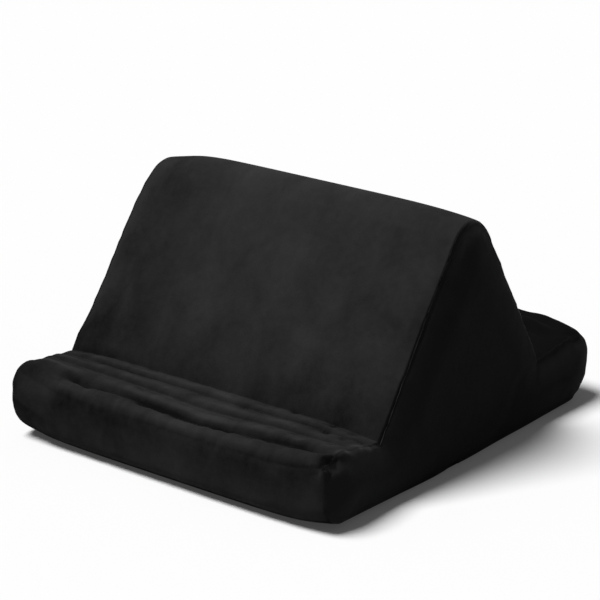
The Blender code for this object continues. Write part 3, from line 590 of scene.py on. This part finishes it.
def face_line(foot, top, out, full):
    """Rows strictly between a crease and the start of the ridge's round."""
    bulge = FACE_BULGE_AT_SEAM + (FACE_BULGE - FACE_BULGE_AT_SEAM) * full
    rows = []
    for step in range(1, FACE_ROWS):
        share = step / FACE_ROWS
        point = foot + (top - foot) * share + out * bulge * 4 * share * (1 - share)
        # Painted shade at the face's foot by the crease, painted light growing towards its top
        painted_shading = FACE_FOOT_PAINTED_SHADE * (1 - ramp(share, 0, 0.4)) + FACE_TOP_PAINTED_LIGHT * share
        rows.append((*point, *out, 0, painted_shading))
    return rows


def seam_depth(places):
    """How deep the side seam is pulled in: most along the face. places are (y, z)."""
    in_front = ramp(places[:, 0], -108 * MM, -114 * MM)
    behind = ramp(places[:, 0], -6 * MM, 4 * MM)
    return 1 - 0.75 * np.maximum(in_front, behind)


def cover_line(x):
    """The velvet cover's rows at x, from the front heel seam to the rear heel seam."""
    section = Section(x)
    rows = ledge_line("front", section.front, x, section.share)
    rows += face_line(section.front.crease, section.face_top, section.face_out, section.full)
    for step in range(RIDGE_ROWS + 1):
        angle = -FACE_ANGLE + (FACE_ANGLE + BACK_ANGLE) * step / RIDGE_ROWS
        out = np.array([math.sin(angle), math.cos(angle)])
        # A painted highlight along the ridge
        rows.append((*(section.ridge + out * RIDGE_RADIUS), *out, 0.7, RIDGE_PAINTED_HIGHLIGHT))
    rows += face_line(section.rear.crease, section.back_top, section.back_out, section.full)[::-1]
    rows += ledge_line("rear", section.rear, x, section.share)[::-1]
    rows = np.array(rows)
    inset = HALF_WIDTH - abs(x)
    depth = seam_depth(rows[:, :2])
    rolled = max(0, 1 - inset / SEAM_ROLL)
    # Painted shade towards the left end and on the upper right, painted light in the middle, and painted
    # shadow along the side seams
    rows[:, 5] += LEFT_PAINTED_SHADE * ramp(x, -60 * MM, -140 * MM) + MIDDLE_PAINTED_LIGHT * bell(x, MIDDLE_PAINTED_LIGHT_REACH)
    rows[:, 5] += RIGHT_PAINTED_SHADE * ramp(x, 50 * MM, 110 * MM) * ramp(rows[:, 1], 85 * MM, 125 * MM)
    rows[:, 5] += SEAM_PAINTED_SHADOW * depth * rolled
    dip = SEAM_DIP * depth * rolled**2
    dip += (rows[:, 0] > REAR_CORNER_FROM) * REAR_CORNER_DIP * max(0, 1 - inset / REAR_CORNER_REACH) ** 2
    near_seam = SEAM_GATHER * math.exp(-inset / SEAM_GATHER_REACH)
    side = 1 if x > 0 else -1
    dip += [near_seam * wander(row[0] * 130, row[1] * 130, side * 7 + inset * 25) for row in rows]
    rows[:, :2] -= rows[:, 2:4] * dip[:, None]
    ends = [0, -1]
    rows[ends, :2] -= rows[ends, 2:4] * HEEL_SEAM_DIP
    return rows


def underside_line(name, x, start):
    """Rows under one half of the cushion, from its heel seam to the folded edge beside the zip."""
    section = Section(x)
    ledge = getattr(section, name)
    heel = [ledge.heel(HEEL_SEAM * (1 - step / UNDER_HEEL_ROWS)) for step in range(1, UNDER_HEEL_ROWS + 1)]
    rows = [tuple(start)] + [(*point, *out) for point, out in heel]
    recess = ZIP_RECESS - ZIP_END_DROP * ramp(abs(x), ZIP_END, HALF_WIDTH)
    hem = ZIP_SLOT / 2 + ZIP_HEM
    begin = np.array([hem + ZIP_VALLEY, section.edge_lift])
    flat = np.array([ledge.toward * (rows[-1][0] - ZIP_LINE), rows[-1][1]])
    inwards = [flat + (begin - flat) * step / FLAT_ROWS for step in range(1, FLAT_ROWS)]
    for step in range(VALLEY_ROWS + 1):
        share = step / VALLEY_ROWS
        height = max(section.edge_lift, recess * ramp(share, 0, 1))
        inwards.append((hem + ZIP_VALLEY * (1 - share), height))
    inwards += [(ZIP_SLOT / 2 + from_slot * MM, recess + up * MM) for from_slot, up in HEM_FOLD]
    return np.array(rows + [(ZIP_LINE + ledge.toward * along, height, 0, -1) for along, height in inwards])


def stations():
    """Where the cover's lines run, closer together towards the side seams."""
    ends = [HALF_WIDTH - inset * MM for inset in STATION_INSETS_MM]
    inner = np.linspace(-ends[-1], ends[-1], INNER_STATIONS + 2)[1:-1]
    return [-x for x in ends] + list(inner) + ends[::-1]


def grid_faces(rows, columns, flipped=False):
    net = np.arange(rows * columns).reshape(rows, columns)
    corners = [net[:-1, :-1], net[:-1, 1:], net[1:, 1:], net[1:, :-1]]
    faces = np.stack(corners[::-1] if flipped else corners, axis=-1)
    return [tuple(face) for face in faces.reshape(-1, 4)]


def edge_distance(points, outline):
    """Distance of each point from the outline."""
    span = np.roll(outline, -1, axis=0) - outline
    length = (span**2).sum(axis=1)
    share = np.clip(((points[:, None] - outline) * span).sum(axis=2) / length, 0, 1)
    nearest = outline + share[..., None] * span
    return np.linalg.norm(points[:, None] - nearest, axis=2).min(axis=1)


def is_inside(points, outline):
    """Whether each point lies inside the outline, by counting crossings."""
    y, z = points[:, 0][:, None], points[:, 1][:, None]
    y0, z0 = outline[:, 0], outline[:, 1]
    y1, z1 = np.roll(y0, -1), np.roll(z0, -1)
    crosses = (z0 > z) != (z1 > z)
    with np.errstate(divide="ignore", invalid="ignore"):
        reached = y < (y1 - y0) * (z - z0) / (z1 - z0) + y0
    return (crosses & reached).sum(axis=1) % 2 == 1


def side_panel_mesh(outline, sign):
    """A panel that fills the outline, which runs clockwise: crowned outwards, with a rolled edge."""
    low, high = outline.min(axis=0), outline.max(axis=0)
    ys = np.arange(low[0] + SIDE_SPACING, high[0], SIDE_SPACING)
    zs = np.arange(low[1] + SIDE_SPACING, high[1], SIDE_SPACING)
    grid = np.array([(y + SIDE_SPACING / 2 * (line % 2), z) for line, z in enumerate(zs) for y in ys])
    grid = grid[edge_distance(grid, outline) > SIDE_GRID_INSET]
    edge = np.roll(outline, -1, axis=0) - np.roll(outline, 1, axis=0)
    inward = np.column_stack([edge[:, 1], -edge[:, 0]]) / np.linalg.norm(edge, axis=1)[:, None]
    places = [outline]
    for inset in SIDE_RING_INSETS:
        ring = outline + inward * inset
        places.append(ring[(edge_distance(ring, outline) > inset * 0.85) & is_inside(ring, outline)])
    places = np.concatenate([*places, grid[is_inside(grid, outline)]])
    count = len(outline)
    edges = [(i, (i + 1) % count) for i in range(count)]
    made = delaunay_2d_cdt([Vector(p) for p in places], edges, [], 1, 1e-7)
    flat = np.array([tuple(p) for p in made[0]])
    inset = edge_distance(flat, outline)
    left = 1 - np.minimum(inset, SIDE_CROWN_REACH) / SIDE_CROWN_REACH
    roll = np.sqrt(1 - (1 - np.minimum(inset, SEAM_ROLL) / SEAM_ROLL) ** 2)
    x = HALF_WIDTH + SIDE_ROLL * roll + SIDE_CROWN * (1 - left**2)
    x[inset < SAME_PLACE] = HALF_WIDTH
    points = np.column_stack([sign * x, flat])
    faces = [tuple(face) if sign > 0 else tuple(face)[::-1] for face in made[2]]
    return points, faces


def side_painted_shading(places, inset):
    """Painted light and shade on a side panel at places (y, z): painted shadow along its seam, lighter
    towards the front, a painted highlight below the ridge, and at the rear corner lighter with painted shade
    along the seam.
    """
    y, z = places[:, 0], places[:, 1]
    painted_shading = SEAM_PAINTED_SHADOW * seam_depth(places) * np.maximum(0, 1 - inset / SEAM_SHADE)
    painted_shading += SIDE_FRONT_PAINTED_LIGHT * ramp(y, -60 * MM, -120 * MM)
    painted_shading += SIDE_RIDGE_PAINTED_HIGHLIGHT * ramp(z, 150 * MM, 180 * MM) * bell(inset - 6 * MM, 2.5 * MM)
    at_rear = ramp(y, REAR_CORNER_FROM - 8 * MM, REAR_CORNER_FROM + 2 * MM) * (z > 30 * MM)
    return painted_shading + at_rear * (SIDE_REAR_PAINTED_LIGHT + REAR_SEAM_PAINTED_SHADE * bell(inset, 4 * MM))


def tuck_painted_shading(points):
    """Painted shade in the tucks: a pit is dark, a small pinch less so, and a puff beside one gets a painted
    highlight.
    """
    painted_shading = np.zeros(len(points))
    for place, _, depth, half_width in TUCKS:
        kind = "pit" if depth >= PIT_FROM_DEPTH else "pinch" if depth > 0 else "puff"
        distance = np.linalg.norm(points - place, axis=1)
        painted_shading += TUCK_PAINTED_SHADES[kind] * math.sqrt(abs(depth) / (4 * MM)) * bell(distance, half_width)
    return painted_shading


def panels():
    """The five velvet panels before they are filled: name to points, faces, pinned and painted light and
    shade.
    """
    xs = stations()
    cover = np.array([cover_line(x) for x in xs])
    rows, columns = cover.shape[:2]
    points = np.column_stack([np.repeat(xs, columns), cover[:, :, :2].reshape(-1, 2)])
    pinned = cover[:, :, 4].copy()
    pinned[[0, -1], :] = 1
    pinned[:, [0, -1]] = 1
    faces = grid_faces(rows, columns, flipped=True)
    made = {"velvet_cover_cloth": (points, faces, pinned.reshape(-1), cover[:, :, 5].reshape(-1))}
    under = {}
    for name, row in (("front", 0), ("rear", -1)):
        lines = np.array([underside_line(name, x, cover[i, row, :4]) for i, x in enumerate(xs)])
        under[name] = lines
        points = np.column_stack([np.repeat(xs, lines.shape[1]), lines[:, :, :2].reshape(-1, 2)])
        faces = grid_faces(*lines.shape[:2], flipped=name == "rear")
        # The underside is painted darker, as shade
        painted_shading = np.full(len(points), UNDERSIDE_PAINTED_SHADE)
        made[name + "_underside_cloth"] = points, faces, np.ones(len(points)), painted_shading
    to_slot = slice(1, 1 - len(HEM_FOLD))
    for name, sign, end in (("left", -1, 0), ("right", 1, -1)):
        rear, front = under["rear"][end, to_slot, :2], under["front"][end, to_slot, :2][::-1]
        arch = PULL_ARCH + (ZIP_LINE, 0) if name == "left" else PULL_ARCH[:0]
        outline = np.concatenate([cover[end, :, :2], rear, arch, front])
        points, faces = side_panel_mesh(outline, sign)
        inset = edge_distance(points[:, 1:], outline)
        pinned = (inset < SAME_PLACE).astype(float)
        made[name + "_side_cloth"] = points, faces, pinned, side_painted_shading(points[:, 1:], inset)
    return {name: (points, *rest, painted_shading + tuck_painted_shading(points)) for name, (points, *rest, painted_shading) in made.items()}


def mesh_object(name, points, faces, material, smooth=True):
    mesh = bpy.data.meshes.new(name)
    mesh.from_pydata([tuple(p) for p in points], [], [tuple(int(i) for i in f) for f in faces])
    if smooth:
        mesh.shade_smooth()
    obj = bpy.data.objects.new(name, mesh)
    obj.data.materials.append(bpy.data.materials[material])
    bpy.context.scene.collection.objects.link(obj)
    return obj


def settled(points, looser=1):
    """How the sewn cushion sits: a fuller left foot of the face, a soft top left corner and tucks.

    looser widens and deepens the tucks for what lies under the cloth.
    """
    points = points.copy()
    away = (points - FOOT_PLACE) / FOOT_REACH
    near = ramp(points[:, 0], FOOT_PLACE[0] + FOOT_REACH[0], FOOT_PLACE[0])
    near *= np.exp(-(away[:, 1] ** 2) - away[:, 2] ** 2) * (points[:, 2] > NAP_FROM)
    points += near[:, None] * FOOT_PUSH
    points += bell(np.linalg.norm(points - TOP_CORNER, axis=1), TOP_CORNER_REACH)[:, None] * TOP_CORNER_PUSH
    for place, out, depth, half_width in TUCKS:
        depth, half_width = depth * looser, half_width * (1 + 4 * (looser - 1))
        first = np.cross(out, (1, 0, 0)) / np.linalg.norm(np.cross(out, (1, 0, 0)))
        second = np.cross(out, first)
        away = points - place
        distance = np.linalg.norm(away, axis=1)
        turn = np.arctan2(away @ second, away @ first)
        pit = bell(distance, half_width)
        creases = TUCK_CREASE_SHARE * bell(distance, 3 * half_width) * np.sin(TUCK_CREASES * turn + 1)
        points -= depth * (pit + creases * (1 - pit))[:, None] * out
    return points


def evened(moved, faces, hold):
    """Spreads the swelling over neighbouring points, so that the stuffing shows and buckles do not."""
    edges = np.array([(a, b) for face in faces for a, b in zip(face, face[1:] + face[:1])])
    edges = np.concatenate([edges, edges[:, ::-1]])
    count = np.bincount(edges[:, 0], minlength=len(moved))
    for _ in range(EVEN_STEPS):
        around = np.zeros_like(moved)
        np.add.at(around, edges[:, 0], moved[edges[:, 1]])
        moved = moved * (1 - EVEN_SHARE) + around / count[:, None] * EVEN_SHARE
        moved *= (1 - hold)[:, None]
    return moved


def swollen(points, faces, hold):
    """Lets the sewn panels swell over the foam as one cloth. Seams, stitch lines and the underside stay."""
    sewn = mesh_object("sewn_cloth", points, faces, "brushed_velvet")
    group = sewn.vertex_groups.new(name="stitched")
    for i in np.where(hold > 0)[0]:
        group.add([int(i)], float(hold[i]), "REPLACE")
    cloth = sewn.modifiers.new("fill", "CLOTH")
    settings = cloth.settings
    settings.quality = 5
    settings.mass = 0.3
    settings.use_pressure = True
    settings.uniform_pressure_force = 4
    settings.shrink_min = -0.012
    settings.vertex_group_mass = "stitched"
    settings.effector_weights.gravity = 0
    cloth.point_cache.frame_start = 1
    cloth.point_cache.frame_end = CLOTH_FRAMES
    scene = bpy.context.scene
    for step in range(1, CLOTH_FRAMES + 1):
        scene.frame_set(step)
    moved = np.empty(len(points) * 3)
    evaluated = sewn.evaluated_get(bpy.context.evaluated_depsgraph_get())
    evaluated.data.vertices.foreach_get("co", moved)
    moved = moved.reshape(-1, 3) - points
    scene.frame_set(1)
    bpy.data.objects.remove(sewn)
    moved = evened(moved, faces, hold)
    size = np.linalg.norm(moved, axis=1)
    on_side = np.abs(points[:, 0]) > HALF_WIDTH + 0.1 * MM
    most = np.where(on_side, SIDE_SWELLING, 1) * MOST_SWELLING
    return points + moved * (most * np.tanh(size / most) / np.maximum(size, 1e-9))[:, None]


def with_nap(points, faces):
    """The pile stands a little proud of the cloth, except where the cushion's weight flattens it."""
    sewn = mesh_object("napped_cloth", points, faces, "brushed_velvet")
    out = np.empty(len(points) * 3)
    sewn.data.vertex_normals.foreach_get("vector", out)
    bpy.data.objects.remove(sewn)
    return points + out.reshape(-1, 3) * (NAP * ramp(points[:, 2], NAP_FROM, NAP_FULL))[:, None]


def filled(made):
    """Each panel's points once all five are sewn together, settled and stuffed."""
    points = np.concatenate([points for points, *_ in made.values()])
    pinned = np.concatenate([pinned for _, _, pinned, _ in made.values()])
    starts = np.cumsum([0] + [len(points) for points, *_ in made.values()])
    places = np.round(points / SAME_PLACE).astype(np.int64)
    _, first, shared = np.unique(places, axis=0, return_index=True, return_inverse=True)
    shared = shared.reshape(-1)
    faces = []
    for start, (_, own_faces, _, _) in zip(starts, made.values()):
        faces += [tuple(dict.fromkeys(shared[start + np.array(face)])) for face in own_faces]
    faces = [face for face in faces if len(face) > 2]
    hold = np.zeros(len(first))
    np.maximum.at(hold, shared, pinned)
    sewn = settled(points[first])
    sewn = swollen(sewn, faces, hold)
    return dict(zip(made, np.split(with_nap(sewn, faces)[shared], starts[1:-1])))


def sew_cushion():
    """Makes the five velvet panels. Returns their points by station and row, and the stitched rows."""
    made = panels()
    shaped = filled(made)
    stands_for = {
        "velvet_cover_cloth": ("velvet_cover", "brushed_velvet"),
        "front_underside_cloth": ("front_underside_panel", "brushed_velvet"),
        "rear_underside_cloth": ("rear_underside_panel", "brushed_velvet"),
        "left_side_cloth": ("left_side_panel", "smooth_velvet"),
        "right_side_cloth": ("right_side_panel", "smooth_velvet"),
    }
    for name, (node, finish) in stands_for.items():
        _, faces, _, painted_shading = made[name]
        obj = mesh_object(name, shaped[name], faces, finish)
        # The painted light and shade go to the velvet shader as a point attribute
        obj.data.attributes.new("painted_light_and_shade", "FLOAT", "POINT").data.foreach_set("value", painted_shading)
        if node == "velvet_cover":
            finer = obj.modifiers.new("finer", "SUBSURF")
            finer.levels = finer.render_levels = 1
        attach(obj, CUSHION)
        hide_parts(node)
    columns = len(stations())
    pinned = made["velvet_cover_cloth"][2].reshape(columns, -1)[columns // 2]
    sheets = ("velvet_cover", "front_underside", "rear_underside")
    grids = {name: shaped[name + "_cloth"].reshape(columns, -1, 3) for name in sheets}
    return grids, [row for row in range(1, len(pinned) - 1) if pinned[row] == 1]


def tube(path, outs, radii):
    """A closed round bar along a path: its points and faces. outs are ways roughly across the path."""
    path, outs = np.array(path), np.array(outs)
    along = np.gradient(path, axis=0)
    along /= np.linalg.norm(along, axis=1)[:, None]
    second = np.cross(along, outs)
    second /= np.linalg.norm(second, axis=1)[:, None]
    first = np.cross(second, along)
    rings = []
    for side in range(TUBE_SIDES):
        turn = 2 * math.pi * side / TUBE_SIDES
        rings.append(path + (first * math.cos(turn) + second * math.sin(turn)) * np.reshape(radii, (-1, 1)))
    points = np.stack(rings, axis=1).reshape(-1, 3)
    net = np.arange(len(points)).reshape(-1, TUBE_SIDES)
    beside = np.roll(net, -1, axis=1)
    walls = np.stack([net[:-1], beside[:-1], beside[1:], net[1:]], axis=-1)
    return points, [tuple(face) for face in (*walls.reshape(-1, 4), net[0, ::-1], net[-1])]


def joined(name, parts, material):
    """One piece made of many small closed forms."""
    points, faces, start = [], [], 0
    for part_points, part_faces in parts:
        points.append(part_points)
        faces += [tuple(i + start for i in face) for face in part_faces]
        start += len(part_points)
    obj = mesh_object(name, np.concatenate(points), faces, material)
    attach(obj, CUSHION)
    return obj


def stitches(line, outs, pitch, sink):
    """Lockstitches along a line: each thread rises out of the cloth, lies on it and dives back in."""
    steps = np.linalg.norm(np.diff(line, axis=0), axis=1)
    travelled = np.concatenate([[0], np.cumsum(steps)])
    height = THREAD_RADIUS * np.array(STITCH_HEIGHTS) - sink
    made = []
    for number in range(int(travelled[-1] / pitch)):
        places = number * pitch + np.array(STITCH_STEPS) * pitch * STITCH_SHARE
        path = np.column_stack([np.interp(places, travelled, line[:, axis]) for axis in range(3)])
        out = np.column_stack([np.interp(places, travelled, outs[:, axis]) for axis in range(3)])
        out /= np.linalg.norm(out, axis=1)[:, None]
        made.append(tube(path + out * height[:, None], out, np.full(len(path), THREAD_RADIUS)))
    return made


def ledge_stitching(cover, lines):
    """Thread along each stitch line of both ledges, sunk into the grooves."""
    half = len(lines) // 2
    for name, rows in (("front", lines[:half]), ("rear", lines[half:])):
        parts = []
        for row in rows:
            line = cover[2:-2, row]
            beside = cover[2:-2, row + 2] - cover[2:-2, row - 2]
            outs = np.cross(np.gradient(line, axis=0), beside)
            outs /= np.linalg.norm(outs, axis=1)[:, None]
            if name == "rear":
                shown = np.abs(line[:, 0]) < REAR_STITCHES_TO
            else:
                shown = line[:, 0] > (PUFFY_FROM if row == rows[0] else -HALF_WIDTH)
            parts += stitches(line[shown], outs[shown], LEDGE_STITCH, LEDGE_STITCH_SINK)
        joined(name + "_ledge_stitching", parts, "polyester_thread")


def hem_stitching(under, name):
    """Two rows of topstitching that hold the folded hem to the zip tape."""
    parts = []
    for shift in (0, HEM_ROWS_APART):
        line = under[4:-4, -len(HEM_FOLD)].copy()
        line[:, 1] += shift if name == "front" else -shift
        parts += stitches(line, np.tile((0.0, 0.0, -1.0), (len(line), 1)), HEM_STITCH, 0)
    joined(name + "_hem_stitching", parts, "polyester_thread")


def painted_seam_highlights(cover):
    """A thin grey tube along each side seam that paints a broken highlight line on the face's lower part;
    elsewhere it is thinner and sunk out of sight.
    """
    for name, column, side in (("left", 0, -1), ("right", -1, 1)):
        line = cover[column]
        inner = cover[column - side * 2]
        outs = (line - inner) / np.linalg.norm(line - inner, axis=1)[:, None]
        y, z = line[:, 1], line[:, 2]
        showing = ramp(y, -112 * MM, -106 * MM) * ramp(z, 150 * MM, 80 * MM) * (y < 0)
        broken = [max(0, 0.4 + 1.1 * wander(p[1] * 140, p[2] * 140, side * 3)) for p in line]
        radii = 0.06 * MM + 0.19 * MM * showing * np.array(broken)
        path = line + outs * (0.1 * MM - 1 * MM * (1 - showing))[:, None]
        joined(name + "_painted_seam_highlight", [tube(path, outs, radii)], "velvet_ground_cloth")


def zip_coils():
    """The two nylon coils: flattened spirals whose heads lock between each other's turns."""
    for name, side, shift in (("front", 1, 0), ("rear", -1, COIL_PITCH / 2)):
        low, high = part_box(name + "_zip_coil")
        middle = (low + high) / 2
        depth = (high[1] - low[1]) / 2 + COIL_LOCK / 2 - COIL_WIRE
        height = (high[2] - low[2]) / 2 - COIL_WIRE
        count = int((high[0] - low[0] - COIL_PITCH) / COIL_PITCH)
        turn = np.arange(count * COIL_STEPS + 1) * 2 * math.pi / COIL_STEPS
        x = low[0] + COIL_WIRE + shift + turn / (2 * math.pi) * COIL_PITCH
        y = middle[1] + side * (COIL_LOCK / 2 + np.cos(turn) * depth)
        path = np.column_stack([x, y, middle[2] + np.sin(turn) * height])
        outs = np.column_stack([np.zeros(len(turn)), side * np.cos(turn), np.sin(turn)])
        wire = tube(path, outs, np.full(len(path), COIL_WIRE))
        coil = joined(name + "_nylon_coil", [wire], "nylon_coil")
        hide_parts(name + "_zip_coil")


def wadding(node, material):
    """Loose fibre that fills each channel under the cloth and thins out at the stitch lines."""
    name = node.split("_")[0]
    top, foot = [], []
    xs = np.linspace(-HALF_WIDTH, HALF_WIDTH, WADDING_STATIONS) * WADDING_WIDTH
    for x in xs:
        section = Section(x)
        ledge = getattr(section, name)
        for rib in range(RIB_COUNT):
            places = RIB_PLACES[::2] + (0.99,) * (rib == LAST_RIB)
            for across in places:
                point, out, rise = ledge_point(name, ledge, x, section.share, rib, across)
                if rib == 0 and across == 0:
                    point, out = ledge.top(WADDING_FROM_CREASE)
                top.append((x, *(point + out * (WADDING_FILL * max(0, rise) - WADDING_TOP))))
                foot.append((x, *(point - out * WADDING_FOOT)))
    columns = len(top) // len(xs)
    faces = grid_faces(len(xs), columns)
    size = len(top)
    net = np.arange(size).reshape(len(xs), columns)
    rim = [*net[0], *net[1:, -1], *net[-1, -2::-1], *net[-2:0:-1, 0]]
    sides = [(a, b, b + size, a + size) for a, b in zip(rim, rim[1:] + rim[:1])]
    faces += [tuple(i + size for i in face[::-1]) for face in faces] + sides
    return mesh_object(node + "_soft", settled(np.array(top + foot), UNDER_TUCK), faces, material)


def pressed_copy(node, material):
    """A copy of a CAD solid inside the cover, pressed in where the tucks are."""
    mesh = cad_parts[node].data.copy()
    points = np.empty(len(mesh.vertices) * 3)
    mesh.vertices.foreach_get("co", points)
    mesh.vertices.foreach_set("co", settled(points.reshape(-1, 3), UNDER_TUCK).reshape(-1))
    mesh.materials.clear()
    mesh.materials.append(bpy.data.materials[material])
    mesh.shade_smooth()
    obj = bpy.data.objects.new(node + "_soft", mesh)
    bpy.context.scene.collection.objects.link(obj)
    return obj


def inner_pieces():
    """The foam blocks, wadding and linings inside the cover."""
    finishes = {
        "foam_base": ("foam", "open_cell_foam"),
        "foam_wedge": ("foam", "open_cell_foam"),
        "front_ledge_wadding": ("wadding", "polyester_wadding"),
        "rear_ledge_wadding": ("wadding", "polyester_wadding"),
        "front_ledge_lining": ("lining", "plain_weave_lining"),
        "rear_ledge_lining": ("lining", "plain_weave_lining"),
    }
    for node, (slot, finish) in finishes.items():
        make = wadding if slot == "wadding" else pressed_copy
        obj = make(node, finish)
        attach(obj, CUSHION)
        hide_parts(node)


def dress_zip():
    """The zip's tapes, slider and pull keep their CAD form."""
    finishes = {
        "front_zip_tape": "twill_zip_tape",
        "rear_zip_tape": "twill_zip_tape",
        "zip_slider": "painted_zinc",
        "zip_pull": "painted_zinc",
    }
    for node, finish in finishes.items():
        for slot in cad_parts[node].material_slots:
            slot.material = bpy.data.materials[finish]


def white_floor():
    """A white paper floor that keeps the object's shadow. It lights the object less than it looks."""
    tree = new_material("white_paper_floor")
    rays = add_node(tree, "ShaderNodeLightPath").outputs
    seen = rays["Is Camera Ray"]
    tones = dict(A=linear(FLOOR_BOUNCE), B=linear(FLOOR_COLOUR))
    tone = add_node(tree, "ShaderNodeMix", [("Factor", seen)], data_type="RGBA", **tones)
    for kind in ("Is Glossy Ray", "Is Transmission Ray"):
        seen = add_node(tree, "ShaderNodeMath", [(0, seen), (1, rays[kind])], operation="MAXIMUM").outputs[0]
    strength = add_node(tree, "ShaderNodeMath", [(0, seen)], operation="MULTIPLY")
    strength.inputs[1].default_value = FLOOR_GLOW
    diffuse = add_node(tree, "ShaderNodeBsdfDiffuse", [("Color", tone.outputs[2])])
    glow = add_node(tree, "ShaderNodeEmission", [("Strength", strength.outputs[0])], Color=(1, 1, 1, 1))
    both = add_node(tree, "ShaderNodeAddShader", [(0, diffuse.outputs[0]), (1, glow.outputs[0])])
    add_node(tree, "ShaderNodeOutputMaterial", [("Surface", both.outputs[0])])
    corners = [(x * FLOOR_REACH, y * FLOOR_REACH, 0) for x, y in ((-1, -1), (1, -1), (1, 1), (-1, 1))]
    mesh_object("studio_floor", corners, [(0, 1, 2, 3)], "white_paper_floor", False)


def surround():
    """A faint even light all round, with white behind the floor's edge for the camera."""
    world = bpy.data.worlds.new("studio_surround")
    bpy.context.scene.world = world
    world.use_nodes = True
    tree = world.node_tree
    tree.nodes.clear()
    seen = add_node(tree, "ShaderNodeLightPath").outputs["Is Camera Ray"]
    lit = add_node(tree, "ShaderNodeBackground", Color=(1, 1, 1, 1), Strength=SURROUND)
    white = add_node(tree, "ShaderNodeBackground", Color=(1, 1, 1, 1), Strength=1.0)
    mix = add_node(tree, "ShaderNodeMixShader", [(0, seen), (1, lit.outputs[0]), (2, white.outputs[0])])
    add_node(tree, "ShaderNodeOutputWorld", [("Surface", mix.outputs[0])])


def aimed(name, data, place, way):
    """A lamp or camera at a place, turned so that it looks that way."""
    obj = bpy.data.objects.new(name, data)
    obj.location = place
    obj.rotation_euler = way.to_track_quat("-Z", "Y").to_euler()
    bpy.context.scene.collection.objects.link(obj)
    return obj


def softbox():
    """One large softbox, overhead to the front left."""
    lamp = bpy.data.lights.new("overhead_softbox", "SUN")
    lamp.energy = SOFTBOX_STRENGTH
    lamp.angle = SOFTBOX_ANGLE
    aimed("overhead_softbox", lamp, SOFTBOX_TOWARD * 2, -SOFTBOX_TOWARD)


def set_camera():
    """The photograph's view: a long lens, above and to the right of the front."""
    lens = bpy.data.cameras.new("photo_camera")
    lens.sensor_width = SENSOR_MM
    lens.lens = LENS_MM
    bpy.context.scene.camera = aimed("photo_camera", lens, CAMERA_PLACE, CAMERA_AIM - CAMERA_PLACE)
    bpy.context.scene.view_settings.view_transform = "Standard"


make_materials()
grids, stitch_lines = sew_cushion()
ledge_stitching(grids["velvet_cover"], stitch_lines)
for half in ("front", "rear"):
    hem_stitching(grids[half + "_underside"], half)
painted_seam_highlights(grids["velvet_cover"])
inner_pieces()
zip_coils()
dress_zip()
white_floor()
surround()
softbox()
set_camera()
